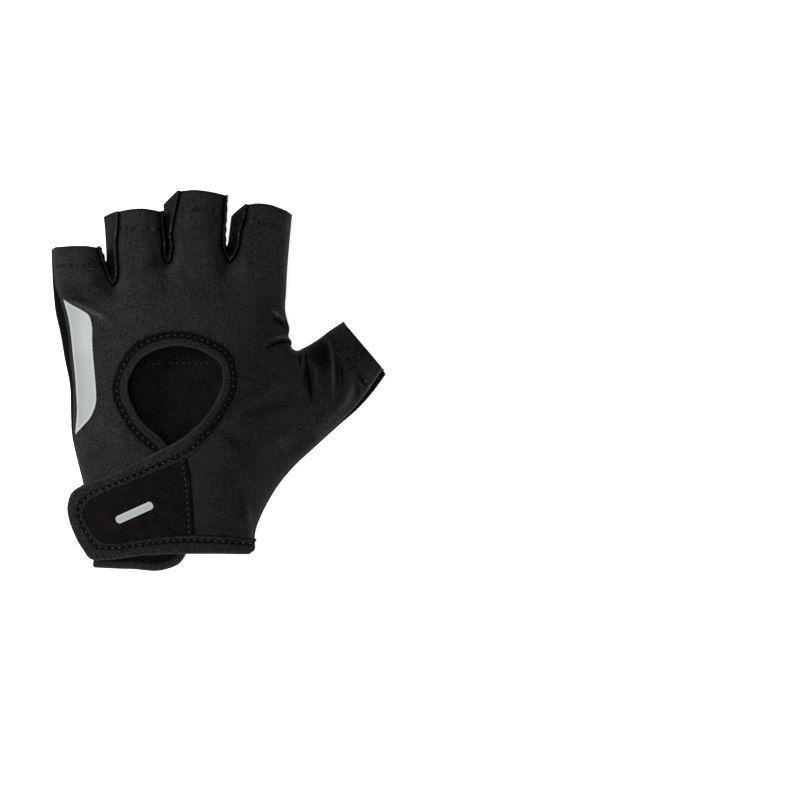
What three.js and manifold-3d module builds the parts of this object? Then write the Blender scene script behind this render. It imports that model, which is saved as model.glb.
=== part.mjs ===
import * as THREE from 'three';
import { mergeVertices } from 'three/addons/utils/BufferGeometryUtils.js';
import Module from 'manifold-3d';

const wasm = await Module();
wasm.setup();

// A fitness glove for the left hand, lying on its palm on z = 0. Its fingers point along +Y, its
// thumb to +X and its back up. It is open at five finger ends and the wrist, with a keyhole on its
// back, and a strap that closes over the flap beside the keyhole. Millimetres.

// Cloth thicknesses and clearances
const BACK = 1.2;
const SUEDE = 1.5;
const TAPE = 0.6;
const GAP = 0.3;
const GUSSET_DROP = 1.1;
const FILM = 0.4;
const HOOK = 1.6;

// Levels of the palm, and of the strap above the flap that it closes over
const PATCH_THICKNESS = 0.7;
const PALM_LOW = PATCH_THICKNESS + GAP;
const PALM_HIGH = PALM_LOW + SUEDE;
const STRAP_LIFT = 3.9;

// Side walls: how far the back's edge lies inside the silhouette, how far the wall turns under, and
// how far a wall that is one piece with its panel reaches into it
const EDGE = 2.5;
const UNDER = 3.5;
const WAIST = 0.45;
const SHOULDER = 0.35;
const JOIN = 0.6;
const WALL_STEP = 7;
const OUTLINE_STEP = 5;

// Tape: folded over a raw edge, which lies this share of its width in from the fold
const RAW_SHARE = 0.27;
const FOLD_SHARE = 0.2;
const FOLD_ROUND = 0.06;
const TAPE_GAP = 0.45;

// The back's height above the floor is a blend of a rounded palm and five rounded tubes. The
// powers set how square their sections are.
const BLEND = 8;
const STEEPEST = 2;
const LIMB_POWER = 2.5;
const PALM_POWER = 3.5;
const CROWN_POWER = 2.2;
const LIMBS = [
  { name: 'pinky', tipX: -60.8, tipY: 56.5, tipHalf: 9.6, rootX: -53, rootY: 15, rootHalf: 13,
    left: 1.2, right: 1.25, crown: 15 },
  { name: 'ring', tipX: -33.4, tipY: 72.5, tipHalf: 8.6, rootX: -32, rootY: 15, rootHalf: 12,
    left: 1.43, right: 1.25, crown: 15 },
  { name: 'middle', tipX: -6.3, tipY: 80, tipHalf: 9.6, rootX: -10, rootY: 15, rootHalf: 13,
    left: 1.43, right: 1.25, crown: 15 },
  { name: 'index', tipX: 22.2, tipY: 74, tipHalf: 9, rootX: 13, rootY: 15, rootHalf: 13,
    left: 1.43, right: 1.25, crown: 15 },
  { name: 'thumb', tipX: 60.9, tipY: 14.4, tipHalf: 12.2, rootX: 25, rootY: -13, rootHalf: 21,
    left: 1.3, right: 1.4, crown: 14 },
];
const PALM_SECTIONS = [
  { y: -82, left: -56, right: 18, crown: 14 },
  { y: -62, left: -58, right: 20, crown: 15.5 },
  { y: -42, left: -61, right: 30, crown: 17 },
  { y: -22, left: -64, right: 42, crown: 19 },
  { y: 0, left: -66, right: 38, crown: 20 },
  { y: 20, left: -69, right: 33, crown: 19 },
  { y: 36, left: -71, right: 31, crown: 16 },
  { y: 52, left: -71, right: 31, crown: 6 },
  { y: 58, left: -71, right: 31, crown: 0 },
];

// Soft folds of the back: a line in plan, its width, and its height, which is negative in a valley
const FOLDS = [
  { at: 'web crease', x0: 33.3, y0: 12.2, x1: 36, y1: -2, width: 3, height: -1.5 },
  { at: 'thumb root', x0: 39.4, y0: 3.1, x1: 39.8, y1: -6.7, width: 4, height: -1 },
  { at: 'thumb', x0: 43.9, y0: 16.2, x1: 47.5, y1: 2.6, width: 3, height: -1.3 },
  { at: 'thumb', x0: 48.7, y0: 14.1, x1: 50.4, y1: -4.2, width: 3, height: 1.5 },
  { at: 'thumb', x0: 52.6, y0: 9.6, x1: 53.6, y1: -0.9, width: 2.5, height: -1.2 },
  { at: 'thumb end', x0: 56.6, y0: 5.8, x1: 57.8, y1: -2.5, width: 3, height: 1.2 },
  { at: 'index side', x0: 23.9, y0: 28.8, x1: 27.8, y1: 25.6, width: 3, height: 1.3 },
  { at: 'index side', x0: 21.1, y0: 14.4, x1: 27.5, y1: 16.4, width: 2.5, height: -1.3 },
  { at: 'index side', x0: 24.7, y0: 19, x1: 29.2, y1: 18.4, width: 2.5, height: 1.2 },
  { at: 'pinky side', x0: -64, y0: 37, x1: -48, y1: 33, width: 5, height: 0.8 },
];

// Silhouette in plan, clockwise from the wrist: the pinky side, the index side with the web and
// the thumb's upper side, and the thumb's lower side down to the wrist
const PINKY_SIDE = [
  { x: -52.9, y: -78.4 },
  { x: -54.6, y: -60 },
  { x: -57, y: -44 },
  { x: -61.5, y: -22.8 },
  { x: -62.9, y: -2.8 },
  { x: -64.6, y: 8.1 },
  { x: -67.4, y: 21.6 },
  { x: -69.8, y: 36 },
  { x: -70.9, y: 55.6 },
];
const INDEX_SIDE = [
  { x: 31.2, y: 70.6 },
  { x: 29.2, y: 48 },
  { x: 28.5, y: 31 },
  { x: 29.8, y: 22 },
  { x: 31, y: 16.2 },
  { x: 33.2, y: 13 },
  { x: 36.5, y: 14 },
  { x: 42, y: 17.2 },
  { x: 53.2, y: 24.8 },
];
const THUMB_SIDE = [
  { x: 70.9, y: 2.3 },
  { x: 59.3, y: -12 },
  { x: 40.9, y: -29 },
  { x: 31.9, y: -37 },
  { x: 25, y: -45 },
  { x: 20.3, y: -53.2 },
  { x: 16.9, y: -62.2 },
  { x: 15.6, y: -72.8 },
];

// Slots between the fingers, from the left finger's end round the crotch to the right finger's
// end: the seam on the back, and below it the palm's edge
const SLOTS = [
  { name: 'gusset_pinky_ring', rows: [
    { x: -50.9, y: 56.4, palmX: -49.9, palmY: 54.3 },
    { x: -49, y: 49.5, palmX: -48.9, palmY: 49.3 },
    { x: -47.2, y: 44, palmX: -48, palmY: 45 },
    { x: -45.1, y: 39.7, palmX: -47.3, palmY: 42.6 },
    { x: -42.8, y: 43.8, palmX: -46.6, palmY: 45 },
    { x: -43.2, y: 49.5, palmX: -47.3, palmY: 50 },
    { x: -44, y: 54.5, palmX: -47.6, palmY: 57 },
    { x: -43.3, y: 62, palmX: -47.7, palmY: 63.5 },
    { x: -42.1, y: 71.8, palmX: -48.3, palmY: 69.8 },
  ] },
  { name: 'gusset_ring_middle', rows: [
    { x: -24.6, y: 71.4, palmX: -24, palmY: 69.5 },
    { x: -23.9, y: 62, palmX: -23.8, palmY: 62 },
    { x: -23.4, y: 54, palmX: -23.6, palmY: 55.5 },
    { x: -21.9, y: 48.7, palmX: -23.2, palmY: 52.8 },
    { x: -19.6, y: 52.5, palmX: -22.7, palmY: 55.5 },
    { x: -19.6, y: 58, palmX: -22.8, palmY: 60 },
    { x: -18.4, y: 65, palmX: -22.9, palmY: 67 },
    { x: -15.6, y: 80.4, palmX: -22.9, palmY: 75 },
  ] },
  { name: 'gusset_middle_index', rows: [
    { x: 3.3, y: 78.6, palmX: 2.6, palmY: 75.5 },
    { x: 3, y: 70, palmX: 2.4, palmY: 69 },
    { x: 2.2, y: 60, palmX: 1.8, palmY: 60.5 },
    { x: 2.8, y: 53.8, palmX: 2.2, palmY: 56 },
    { x: 5.2, y: 49.8, palmX: 3.2, palmY: 53.8 },
    { x: 8.3, y: 54, palmX: 4, palmY: 56.2 },
    { x: 10, y: 62.5, palmX: 5, palmY: 63.5 },
    { x: 13.1, y: 74.7, palmX: 5.6, palmY: 70.2 },
  ] },
];
const FINGER_ENDS = {
  pinky: [{ x: -60, y: 57 }],
  ring: [{ x: -32.2, y: 72.8 }],
  middle: [{ x: -10.2, y: 80.7 }, { x: -2.9, y: 79.9 }],
  index: [{ x: 16.6, y: 75 }, { x: 22.6, y: 74.3 }],
};
const PALM_ENDS = { pinkyY: 54, indexX: 26.8, indexY: 67.6, thumbSetback: 3 };

// Tapes in plan: the folded edge, and the stitched edge on the cloth. The first runs along the
// flap's lower edge, up its hidden side and round the keyhole, and the second down the strap's
// upper edge, round its tip and back to the wrist's thumb end.
const KEYHOLE_TAPE = [
  { foldX: -50.2, foldY: -79.9, sewnX: -50.2, sewnY: -72.9 },
  { foldX: -37, foldY: -80.4, sewnX: -37, sewnY: -73.4 },
  { foldX: -23, foldY: -80.6, sewnX: -24.5, sewnY: -73.6 },
  { foldX: -16, foldY: -77.8, sewnX: -20.4, sewnY: -71.9 },
  { foldX: -12.8, foldY: -72, sewnX: -19.4, sewnY: -69 },
  { foldX: -12.8, foldY: -62, sewnX: -19.3, sewnY: -61 },
  { foldX: -14.2, foldY: -48, sewnX: -21, sewnY: -46.5 },
  { foldX: -17.5, foldY: -36.5, sewnX: -24, sewnY: -34 },
  { foldX: -21.9, foldY: -27, sewnX: -27.6, sewnY: -31.2 },
  { foldX: -33.1, foldY: -15.8, sewnX: -39, sewnY: -19.6 },
  { foldX: -38, foldY: -2.5, sewnX: -45, sewnY: -2.7 },
  { foldX: -33.1, foldY: 8.1, sewnX: -37.8, sewnY: 13.3 },
  { foldX: -18.5, foldY: 14.4, sewnX: -19.3, sewnY: 21.4 },
  { foldX: -6.3, foldY: 12, sewnX: -3.3, sewnY: 18.3 },
  { foldX: 1.5, foldY: 6.1, sewnX: 7.2, sewnY: 10.2 },
  { foldX: 2.3, foldY: -0.5, sewnX: 9.3, sewnY: -1.6 },
  { foldX: -1.4, foldY: -9.9, sewnX: 4.8, sewnY: -13.2 },
  { foldX: -6.3, foldY: -17.3, sewnX: -0.8, sewnY: -21.6 },
];
const STRAP_TAPE = [
  { foldX: -6.5, foldY: -17.6, sewnX: -1, sewnY: -21.9 },
  { foldX: -13.6, foldY: -23.6, sewnX: -9, sewnY: -30 },
  { foldX: -28.9, foldY: -31.9, sewnX: -27.2, sewnY: -39.1 },
  { foldX: -47.2, foldY: -40.8, sewnX: -44.5, sewnY: -46.2 },
  { foldX: -56.9, foldY: -44.2, sewnX: -51.3, sewnY: -49.2 },
  { foldX: -62.2, foldY: -47.8, sewnX: -54.9, sewnY: -52 },
  { foldX: -64, foldY: -53, sewnX: -56.8, sewnY: -55 },
  { foldX: -61.1, foldY: -65.2, sewnX: -54.8, sewnY: -61.5 },
  { foldX: -57.7, foldY: -71.4, sewnX: -52.4, sewnY: -65.5 },
  { foldX: -54, foldY: -76, sewnX: -49.4, sewnY: -68.4 },
  { foldX: -48.3, foldY: -76.2, sewnX: -45.5, sewnY: -69.1 },
  { foldX: -30.5, foldY: -74.2, sewnX: -31, sewnY: -67.4 },
  { foldX: -13.9, foldY: -73.6, sewnX: -13.9, sewnY: -65.6 },
  { foldX: 12.7, foldY: -74.4, sewnX: 12.7, sewnY: -67.3 },
];
const CUFF_TAPE = [
  { foldX: -50, foldY: -79.9, sewnX: -50, sewnY: -72.9 },
  { foldX: 12.7, foldY: -74.4, sewnX: 12.7, sewnY: -67.4 },
];

// The seam between the strap's velour and the back, top to bottom
const STRAP_SEAM = [
  { x: -16, y: -18 },
  { x: -13, y: -32.8 },
  { x: -11.6, y: -41.3 },
  { x: -9.8, y: -64.9 },
  { x: -9.7, y: -80 },
];

// The back is cut along this line, and the part right of it rises towards the strap. Its plan
// begins above the keyhole's lower right side and takes in a place inside the keyhole.
const PART_LINE = 1;
const RISING_PART = { left: -8, right: 3, top: -4, holeY: -14 };

// The back's raw edges at the wrist, the top of the flap's edge inside the keyhole, and a line
// past the glove's left side and one past its wrist
const WRIST_EDGE = { left: -50.4, right: -72.2 };
const KEYHOLE_FROM = -15.8;
const PAST = { left: -80, wrist: -90 };

// The strap's side rises over these lengths, its tape crosses the flap's, and its tip droops
const RISE = { fromX: -1, lengthX: 10, fromY: -8, lengthY: 12 };
const CROSSING = { flapX: -12.4, strapX: -7.2 };
const DROOP = { from: -30, rate: 0.3, ease: 6 };

const REFLECTIVE_PATCH = [
  { x: -66, y: 34.2 },
  { x: -55.2, y: 28.1 },
  { x: -53.6, y: 25.2 },
  { x: -52.7, y: 10.3 },
  { x: -51.7, y: -7.1 },
  { x: -52.1, y: -10.5 },
  { x: -56.2, y: -18.1 },
  { x: -60.9, y: -23 },
  { x: -60.4, y: -13.6 },
  { x: -62, y: 8.1 },
  { x: -63.6, y: 21.6 },
];
const STRAP_BAR = { x: -35, y: -56, length: 17, width: 3.4, turn: 0.42, corner: 1.6 };
const HOOK_PAD = { x: -36, y: -58.5, length: 24, width: 13, turn: 0.1, corner: 3 };
const PALM_PATCH = { x: -14, y: -26, length: 64, width: 68, turn: 0, corner: 12 };
const CORNER_POINTS = 3;
const SAME_POINT = 0.01;

// Lines of the grid that every layer of the back shares, closer together where it folds
const X_LINES = [
  { from: -75, to: -12.4, step: 6.9 },
  { from: -12.4, to: -7.2, step: 5.2 },
  { from: -7.2, to: 21, step: 7 },
  { from: 21, to: 60, step: 3.2 },
  { from: 60, to: 75, step: 4 },
];
const Y_LINES = [
  { from: -85, to: -14, step: 7.1 },
  { from: -14, to: 11, step: 6.2 },
  { from: 11, to: 29, step: 3 },
  { from: 29, to: 86, step: 7.1 },
];

function lines(spans) {
  const places = [spans[0].from];
  for (const span of spans) {
    const count = Math.round((span.to - span.from) / span.step);
    for (let i = 1; i <= count; i += 1) {
      places.push(span.from + i * (span.to - span.from) / count);
    }
  }
  return places;
}

const gridX = lines(X_LINES);
const gridY = lines(Y_LINES);

function limbHeight(limb, x, y) {
  const axisX = limb.tipX - limb.rootX;
  const axisY = limb.tipY - limb.rootY;
  const length = Math.hypot(axisX, axisY);
  const along = ((x - limb.rootX) * axisX + (y - limb.rootY) * axisY) / length;
  const across = ((x - limb.rootX) * axisY - (y - limb.rootY) * axisX) / length;
  const share = THREE.MathUtils.clamp(along / length, 0, 1);
  const half = THREE.MathUtils.lerp(limb.rootHalf, limb.tipHalf, share);
  const reach = half * (across < 0 ? limb.left : limb.right);
  const behind = Math.max(0, -along) / limb.rootHalf;
  const inside = 1 - Math.abs(across / reach) ** LIMB_POWER - behind ** 2;
  return limb.crown * Math.sqrt(Math.max(0, inside));
}

function palmHeight(x, y) {
  let i = 1;
  while (i < PALM_SECTIONS.length - 1 && PALM_SECTIONS[i].y < y) {
    i += 1;
  }
  const below = PALM_SECTIONS[i - 1];
  const above = PALM_SECTIONS[i];
  const share = THREE.MathUtils.clamp((y - below.y) / (above.y - below.y), 0, 1);
  const left = THREE.MathUtils.lerp(below.left, above.left, share);
  const right = THREE.MathUtils.lerp(below.right, above.right, share);
  const crown = THREE.MathUtils.lerp(below.crown, above.crown, share);
  const across = Math.abs((2 * x - left - right) / (right - left));
  return crown * Math.max(0, 1 - across ** PALM_POWER) ** (1 / CROWN_POWER);
}

function foldHeight(fold, x, y) {
  const runX = fold.x1 - fold.x0;
  const runY = fold.y1 - fold.y0;
  const share = ((x - fold.x0) * runX + (y - fold.y0) * runY) / (runX ** 2 + runY ** 2);
  const along = THREE.MathUtils.clamp(share, 0, 1);
  const away = Math.hypot(x - fold.x0 - along * runX, y - fold.y0 - along * runY);
  return fold.height * Math.exp(-((away / fold.width) ** 2));
}

function backHeight(x, y) {
  let sum = palmHeight(x, y) ** BLEND;
  for (const limb of LIMBS) {
    sum += limbHeight(limb, x, y) ** BLEND;
  }
  let height = PALM_LOW + sum ** (1 / BLEND);
  for (const fold of FOLDS) {
    height += foldHeight(fold, x, y);
  }
  return height;
}

function rise(x, y) {
  const overX = THREE.MathUtils.smoothstep((RISE.fromX - x) / RISE.lengthX, 0, 1);
  const overY = THREE.MathUtils.smoothstep((RISE.fromY - y) / RISE.lengthY, 0, 1);
  return STRAP_LIFT * overX * overY;
}

// The strap's side rises over the flap, and its tip droops past the pinky side of the hand
function strapHeight(x, y) {
  const past = Math.max(0, DROOP.from - x);
  const eased = x + DROOP.rate * past ** 2 / (past + DROOP.ease);
  return backHeight(eased, y) + rise(x, y);
}

// The keyhole's edge lies on the flap on its left and rises with the strap on its right
function keyholeHeight(x, y) {
  const share = (x - CROSSING.flapX) / (CROSSING.strapX - CROSSING.flapX);
  return backHeight(x, y) + rise(x, y) * THREE.MathUtils.clamp(share, 0, 1);
}

// A sheet keeps a surface's height and steepness on the grid, so that all its layers run parallel
class Sheet {
  constructor(height) {
    this.rows = gridY.map((y) => gridX.map((x) => {
      const slopeX = (height(x + 1, y) - height(x - 1, y)) / 2;
      const slopeY = (height(x, y + 1) - height(x, y - 1)) / 2;
      return { z: height(x, y), steep: Math.min(STEEPEST, Math.hypot(1, slopeX, slopeY)) };
    }));
    this.slabs = new Map();
  }

  node(i, j, offset) {
    return this.rows[j][i].z + offset * this.rows[j][i].steep;
  }

  at(x, y, offset = 0) {
    const i = Math.max(0, gridX.findIndex((line) => line > x) - 1);
    const j = Math.max(0, gridY.findIndex((line) => line > y) - 1);
    const u = (x - gridX[i]) / (gridX[i + 1] - gridX[i]);
    const v = (y - gridY[j]) / (gridY[j + 1] - gridY[j]);
    const low = this.node(i, j, offset);
    const high = this.node(i + 1, j + 1, offset);
    if (u > v) {
      const corner = this.node(i + 1, j, offset);
      return low + u * (corner - low) + v * (high - corner);
    }
    const corner = this.node(i, j + 1, offset);
    return low + v * (corner - low) + u * (high - corner);
  }

  slab(low, high) {
    const key = `${low} ${high}`;
    if (!this.slabs.has(key)) {
      this.slabs.set(key, gridSlab(this, low, high));
    }
    return this.slabs.get(key);
  }

  layer(outline, low, high) {
    return this.slab(low, high).intersect(prism(outline));
  }
}

function gridSlab(sheet, low, high) {
  const columns = gridX.length;
  const count = columns * gridY.length;
  const positions = [];
  for (const offset of [low, high]) {
    gridY.forEach((y, j) => gridX.forEach((x, i) => {
      positions.push(x, y, sheet.node(i, j, offset));
    }));
  }
  const faces = [];
  for (let j = 0; j < gridY.length - 1; j += 1) {
    for (let i = 0; i < columns - 1; i += 1) {
      const a = j * columns + i;
      const b = a + 1;
      const c = b + columns;
      const d = a + columns;
      faces.push(a, c, b, a, d, c);
      faces.push(a + count, b + count, c + count, a + count, c + count, d + count);
    }
  }
  const rim = [];
  for (let i = 0; i < columns - 1; i += 1) {
    rim.push(i);
  }
  for (let j = 0; j < gridY.length - 1; j += 1) {
    rim.push(j * columns + columns - 1);
  }
  for (let i = columns - 1; i > 0; i -= 1) {
    rim.push((gridY.length - 1) * columns + i);
  }
  for (let j = gridY.length - 1; j > 0; j -= 1) {
    rim.push(j * columns);
  }
  rim.forEach((a, k) => {
    const b = rim[(k + 1) % rim.length];
    faces.push(a, b, b + count, a, b + count, a + count);
  });
  return manifold(positions, faces);
}

function manifold(positions, faces) {
  return new wasm.Manifold(new wasm.Mesh({
    numProp: 3,
    vertProperties: new Float32Array(positions),
    triVerts: new Uint32Array(faces),
  }));
}

function solid(geometry) {
  geometry.deleteAttribute('normal');
  geometry.deleteAttribute('uv');
  const merged = mergeVertices(geometry);
  return manifold(merged.attributes.position.array, merged.index.array);
}

function prism(outline, low = -20, high = 60) {
  const geometry = new THREE.ExtrudeGeometry(new THREE.Shape(outline), {
    depth: high - low,
    bevelEnabled: false,
  });
  return solid(geometry.translate(0, 0, low));
}

function smooth(points, step = OUTLINE_STEP) {
  const curve = new THREE.CatmullRomCurve3(
    points.map((point) => new THREE.Vector3(point.x, point.y, 0)),
    false,
    'centripetal',
  );
  return curve.getSpacedPoints(Math.ceil(curve.getLength() / step))
    .map((point) => new THREE.Vector2(point.x, point.y));
}

function plain(points) {
  return points.map((point) => new THREE.Vector2(point.x, point.y));
}

// Points of a side, each with the direction out of the glove and the back's edge and height there
function sideRows(points, sheet) {
  const line = smooth(points, WALL_STEP);
  return line.map((point, i) => {
    const before = line[Math.max(0, i - 1)];
    const after = line[Math.min(line.length - 1, i + 1)];
    const along = after.clone().sub(before).normalize();
    const out = new THREE.Vector2(-along.y, along.x);
    const edge = point.clone().addScaledVector(out, -EDGE);
    return { point, out, edge, top: sheet.at(edge.x, edge.y) };
  });
}

function inset(rows, distance) {
  return rows.map((row) => row.point.clone().addScaledVector(row.out, -distance));
}

function bend(from, control, to, share) {
  return new THREE.QuadraticBezierCurve(from, control, to).getPoint(share);
}

// A side wall's section in (distance out from the back's edge, height), moved out by an offset
function wallSection(top, start, offset) {
  const waist = PALM_LOW + WAIST * (top - PALM_LOW);
  const first = new THREE.Vector2(start, top);
  const shoulder = new THREE.Vector2(EDGE, top - SHOULDER * (top - waist));
  const side = new THREE.Vector2(EDGE, waist);
  const heel = new THREE.Vector2(EDGE, PALM_LOW);
  const last = new THREE.Vector2(EDGE - UNDER, PALM_LOW);
  const line = [
    first,
    bend(first, shoulder, side, 1 / 2),
    side,
    bend(side, heel, last, 1 / 3),
    bend(side, heel, last, 2 / 3),
    last,
  ];
  return line.map((point, i) => {
    if (i === 0) {
      return new THREE.Vector2(point.x, point.y + offset);
    }
    const before = line[i - 1];
    const after = line[Math.min(line.length - 1, i + 1)];
    const along = after.clone().sub(before).normalize();
    if (i === line.length - 1) {
      along.set(-1, 0);
    }
    return new THREE.Vector2(point.x - along.y * offset, point.y + along.x * offset);
  });
}

function standSection(row, section) {
  return section.map(({ x, y }) => new THREE.Vector3(
    row.edge.x + row.out.x * x,
    row.edge.y + row.out.y * x,
    y,
  ));
}

// A solid strip lofted through rows that each hold a line of outer points and one of inner points
function strip(rows) {
  const width = rows[0].outer.length;
  const positions = [];
  for (const row of rows) {
    for (const point of [...row.outer, ...row.inner]) {
      positions.push(point.x, point.y, point.z);
    }
  }
  const outer = (r, k) => r * 2 * width + k;
  const inner = (r, k) => r * 2 * width + width + k;
  const faces = [];
  const quad = (a, b, c, d) => faces.push(a, b, c, a, c, d);
  for (let r = 0; r < rows.length - 1; r += 1) {
    for (let k = 0; k < width - 1; k += 1) {
      quad(outer(r, k), outer(r, k + 1), outer(r + 1, k + 1), outer(r + 1, k));
      quad(inner(r, k), inner(r + 1, k), inner(r + 1, k + 1), inner(r, k + 1));
    }
    quad(outer(r, 0), outer(r + 1, 0), inner(r + 1, 0), inner(r, 0));
    quad(outer(r, width - 1), inner(r, width - 1), inner(r + 1, width - 1), outer(r + 1, width - 1));
  }
  const end = rows.length - 1;
  for (let k = 0; k < width - 1; k += 1) {
    quad(outer(0, k), inner(0, k), inner(0, k + 1), outer(0, k + 1));
    quad(outer(end, k), outer(end, k + 1), inner(end, k + 1), inner(end, k));
  }
  const made = manifold(positions, faces);
  if (made.volume() > 0) {
    return made;
  }
  return manifold(positions, faces.reverse());
}

function sideWall(rows, start, outerOffset, innerOffset) {
  return strip(rows.map((row) => ({
    outer: standSection(row, wallSection(row.top, start, outerOffset)),
    inner: standSection(row, wallSection(row.top, start, innerOffset)),
  })));
}

// Smooth rows through a table, every column passing through its values at about even steps
function smoothRows(rows, step = OUTLINE_STEP) {
  const [x, y] = Object.keys(rows[0]);
  const runs = rows.slice(1).map((row, i) => Math.hypot(row[x] - rows[i][x], row[y] - rows[i][y]));
  const rate = (column, i) => (rows[i + 1][column] - rows[i][column]) / runs[i];
  const slope = (column, i) => {
    if (i === 0 || i === rows.length - 1) {
      return rate(column, Math.min(i, runs.length - 1));
    }
    const [before, after] = [runs[i - 1], runs[i]];
    return (rate(column, i - 1) * after + rate(column, i) * before) / (before + after);
  };
  const made = [rows[0]];
  runs.forEach((run, i) => {
    const count = Math.ceil(run / step);
    for (let k = 1; k <= count; k += 1) {
      const t = k / count;
      const row = {};
      for (const column of Object.keys(rows[0])) {
        row[column] = rows[i][column] * (1 + 2 * t) * (1 - t) ** 2
          + rows[i + 1][column] * t ** 2 * (3 - 2 * t)
          + run * t * (1 - t) * (slope(column, i) * (1 - t) - slope(column, i + 1) * t);
      }
      made.push(row);
    }
  });
  return made;
}

// A place across a tape, from its folded edge at 0 to its sewn edge at 1
function acrossTape(row, share) {
  return new THREE.Vector2(
    THREE.MathUtils.lerp(row.foldX, row.sewnX, share),
    THREE.MathUtils.lerp(row.foldY, row.sewnY, share),
  );
}

// Tape folded over a cloth of the given thickness, whose upper face is the sheet
function foldedTape(sheet, rows, cloth) {
  const high = TAPE_GAP + TAPE;
  const low = -cloth - TAPE_GAP - TAPE;
  const shape = { outer: [], inner: [] };
  for (const share of [1, 0.5, FOLD_ROUND]) {
    shape.outer.push({ share, offset: high });
  }
  shape.outer.push({ share: 0, offset: -cloth / 2 });
  for (const share of [FOLD_ROUND, 0.5, 1]) {
    shape.outer.push({ share, offset: low });
  }
  for (const share of [1, 0.5, FOLD_SHARE]) {
    shape.inner.push({ share, offset: TAPE_GAP });
  }
  shape.inner.push({ share: FOLD_SHARE, offset: -cloth / 2 });
  for (const share of [FOLD_SHARE, 0.5, 1]) {
    shape.inner.push({ share, offset: -cloth - TAPE_GAP });
  }
  const stand = (row) => ({ share, offset }) => {
    const place = acrossTape(row, share);
    return new THREE.Vector3(place.x, place.y, sheet.at(place.x, place.y, offset));
  };
  return strip(rows.map((row) => ({
    outer: shape.outer.map(stand(row)),
    inner: shape.inner.map(stand(row)),
  })));
}

function roundedPad(pad) {
  const x = pad.length / 2;
  const y = pad.width / 2;
  const { corner } = pad;
  const shape = new THREE.Shape();
  shape.moveTo(corner - x, -y);
  shape.absarc(x - corner, corner - y, corner, -Math.PI / 2, 0);
  shape.absarc(x - corner, y - corner, corner, 0, Math.PI / 2);
  shape.absarc(corner - x, y - corner, corner, Math.PI / 2, Math.PI);
  shape.absarc(corner - x, corner - y, corner, Math.PI, Math.PI * 1.5);
  const centre = new THREE.Vector2();
  const place = new THREE.Vector2(pad.x, pad.y);
  return shape.getPoints(CORNER_POINTS)
    .map((point) => point.rotateAround(centre, pad.turn).add(place))
    .filter((point, i, all) => i === 0 || point.distanceTo(all[i - 1]) > SAME_POINT)
    .filter((point, i, all) => i < all.length - 1 || point.distanceTo(all[0]) > SAME_POINT);
}

const back = new Sheet(backHeight);
const strap = new Sheet(strapHeight);
const keyhole = new Sheet(keyholeHeight);
const palm = new Sheet(() => PALM_HIGH);

const pinkySide = sideRows(PINKY_SIDE, back);
const indexSide = sideRows(INDEX_SIDE, back);
const thumbSide = sideRows(THUMB_SIDE, back);

const keyholeRows = smoothRows(KEYHOLE_TAPE);
const strapRows = smoothRows(STRAP_TAPE);
const keyholeRaw = keyholeRows.map((row) => acrossTape(row, RAW_SHARE));
const strapRaw = strapRows.map((row) => acrossTape(row, RAW_SHARE));

function backOutline() {
  const slot = (i) => plain(SLOTS[i].rows);
  return [
    ...inset(pinkySide, EDGE),
    ...plain(FINGER_ENDS.pinky),
    ...slot(0),
    ...plain(FINGER_ENDS.ring),
    ...slot(1),
    ...plain(FINGER_ENDS.middle),
    ...slot(2),
    ...plain(FINGER_ENDS.index),
    ...inset(indexSide, EDGE),
    ...inset(thumbSide, EDGE),
    ...plain([
      { x: PART_LINE, y: WRIST_EDGE.right },
      { x: PART_LINE, y: PAST.wrist },
      { x: WRIST_EDGE.left, y: PAST.wrist },
    ]),
  ];
}

// The back's cloth: one part over the hand and the flap, one that rises towards the strap, and
// the wall down the index finger, round the web and along the thumb's upper side
function backPanel() {
  const across = keyholeRaw.findLastIndex((point) => point.x > PART_LINE) + 1;
  const notch = [
    ...keyholeRaw.slice(0, across + 1),
    ...plain([
      { x: PART_LINE, y: keyholeRaw[across].y },
      { x: PART_LINE, y: PAST.wrist },
      { x: PAST.left, y: PAST.wrist },
      { x: PAST.left, y: keyholeRaw[0].y },
    ]),
  ];
  const hand = back.layer(backOutline(), -BACK, 0).subtract(prism(notch));
  const rising = strap.layer(strapPlan(), -BACK, 0)
    .subtract(prism(leftOfSeam(0)))
    .subtract(prism(keyholeOpening()));
  const wall = sideWall(indexSide, -JOIN, 0, -BACK);
  return hand.add(rising).add(wall);
}

function keyholeOpening() {
  return keyholeRaw.slice(keyholeRaw.findIndex((point) => point.y > KEYHOLE_FROM));
}

// Plan of the thumb-side part that ends in the strap
function strapPlan() {
  const { left, right, top, holeY } = RISING_PART;
  return [
    ...plain([{ x: right, y: top }, { x: left, y: top }, { x: left, y: holeY }]),
    ...strapRaw.filter((point) => point.x < right),
    ...plain([{ x: right, y: WRIST_EDGE.right }]),
  ];
}

function leftOfSeam(gap) {
  const seam = plain(STRAP_SEAM).map((point) => point.setX(point.x - gap));
  return [...seam, ...plain([{ x: PAST.left, y: seam.at(-1).y }, { x: PAST.left, y: seam[0].y }])];
}

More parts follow.
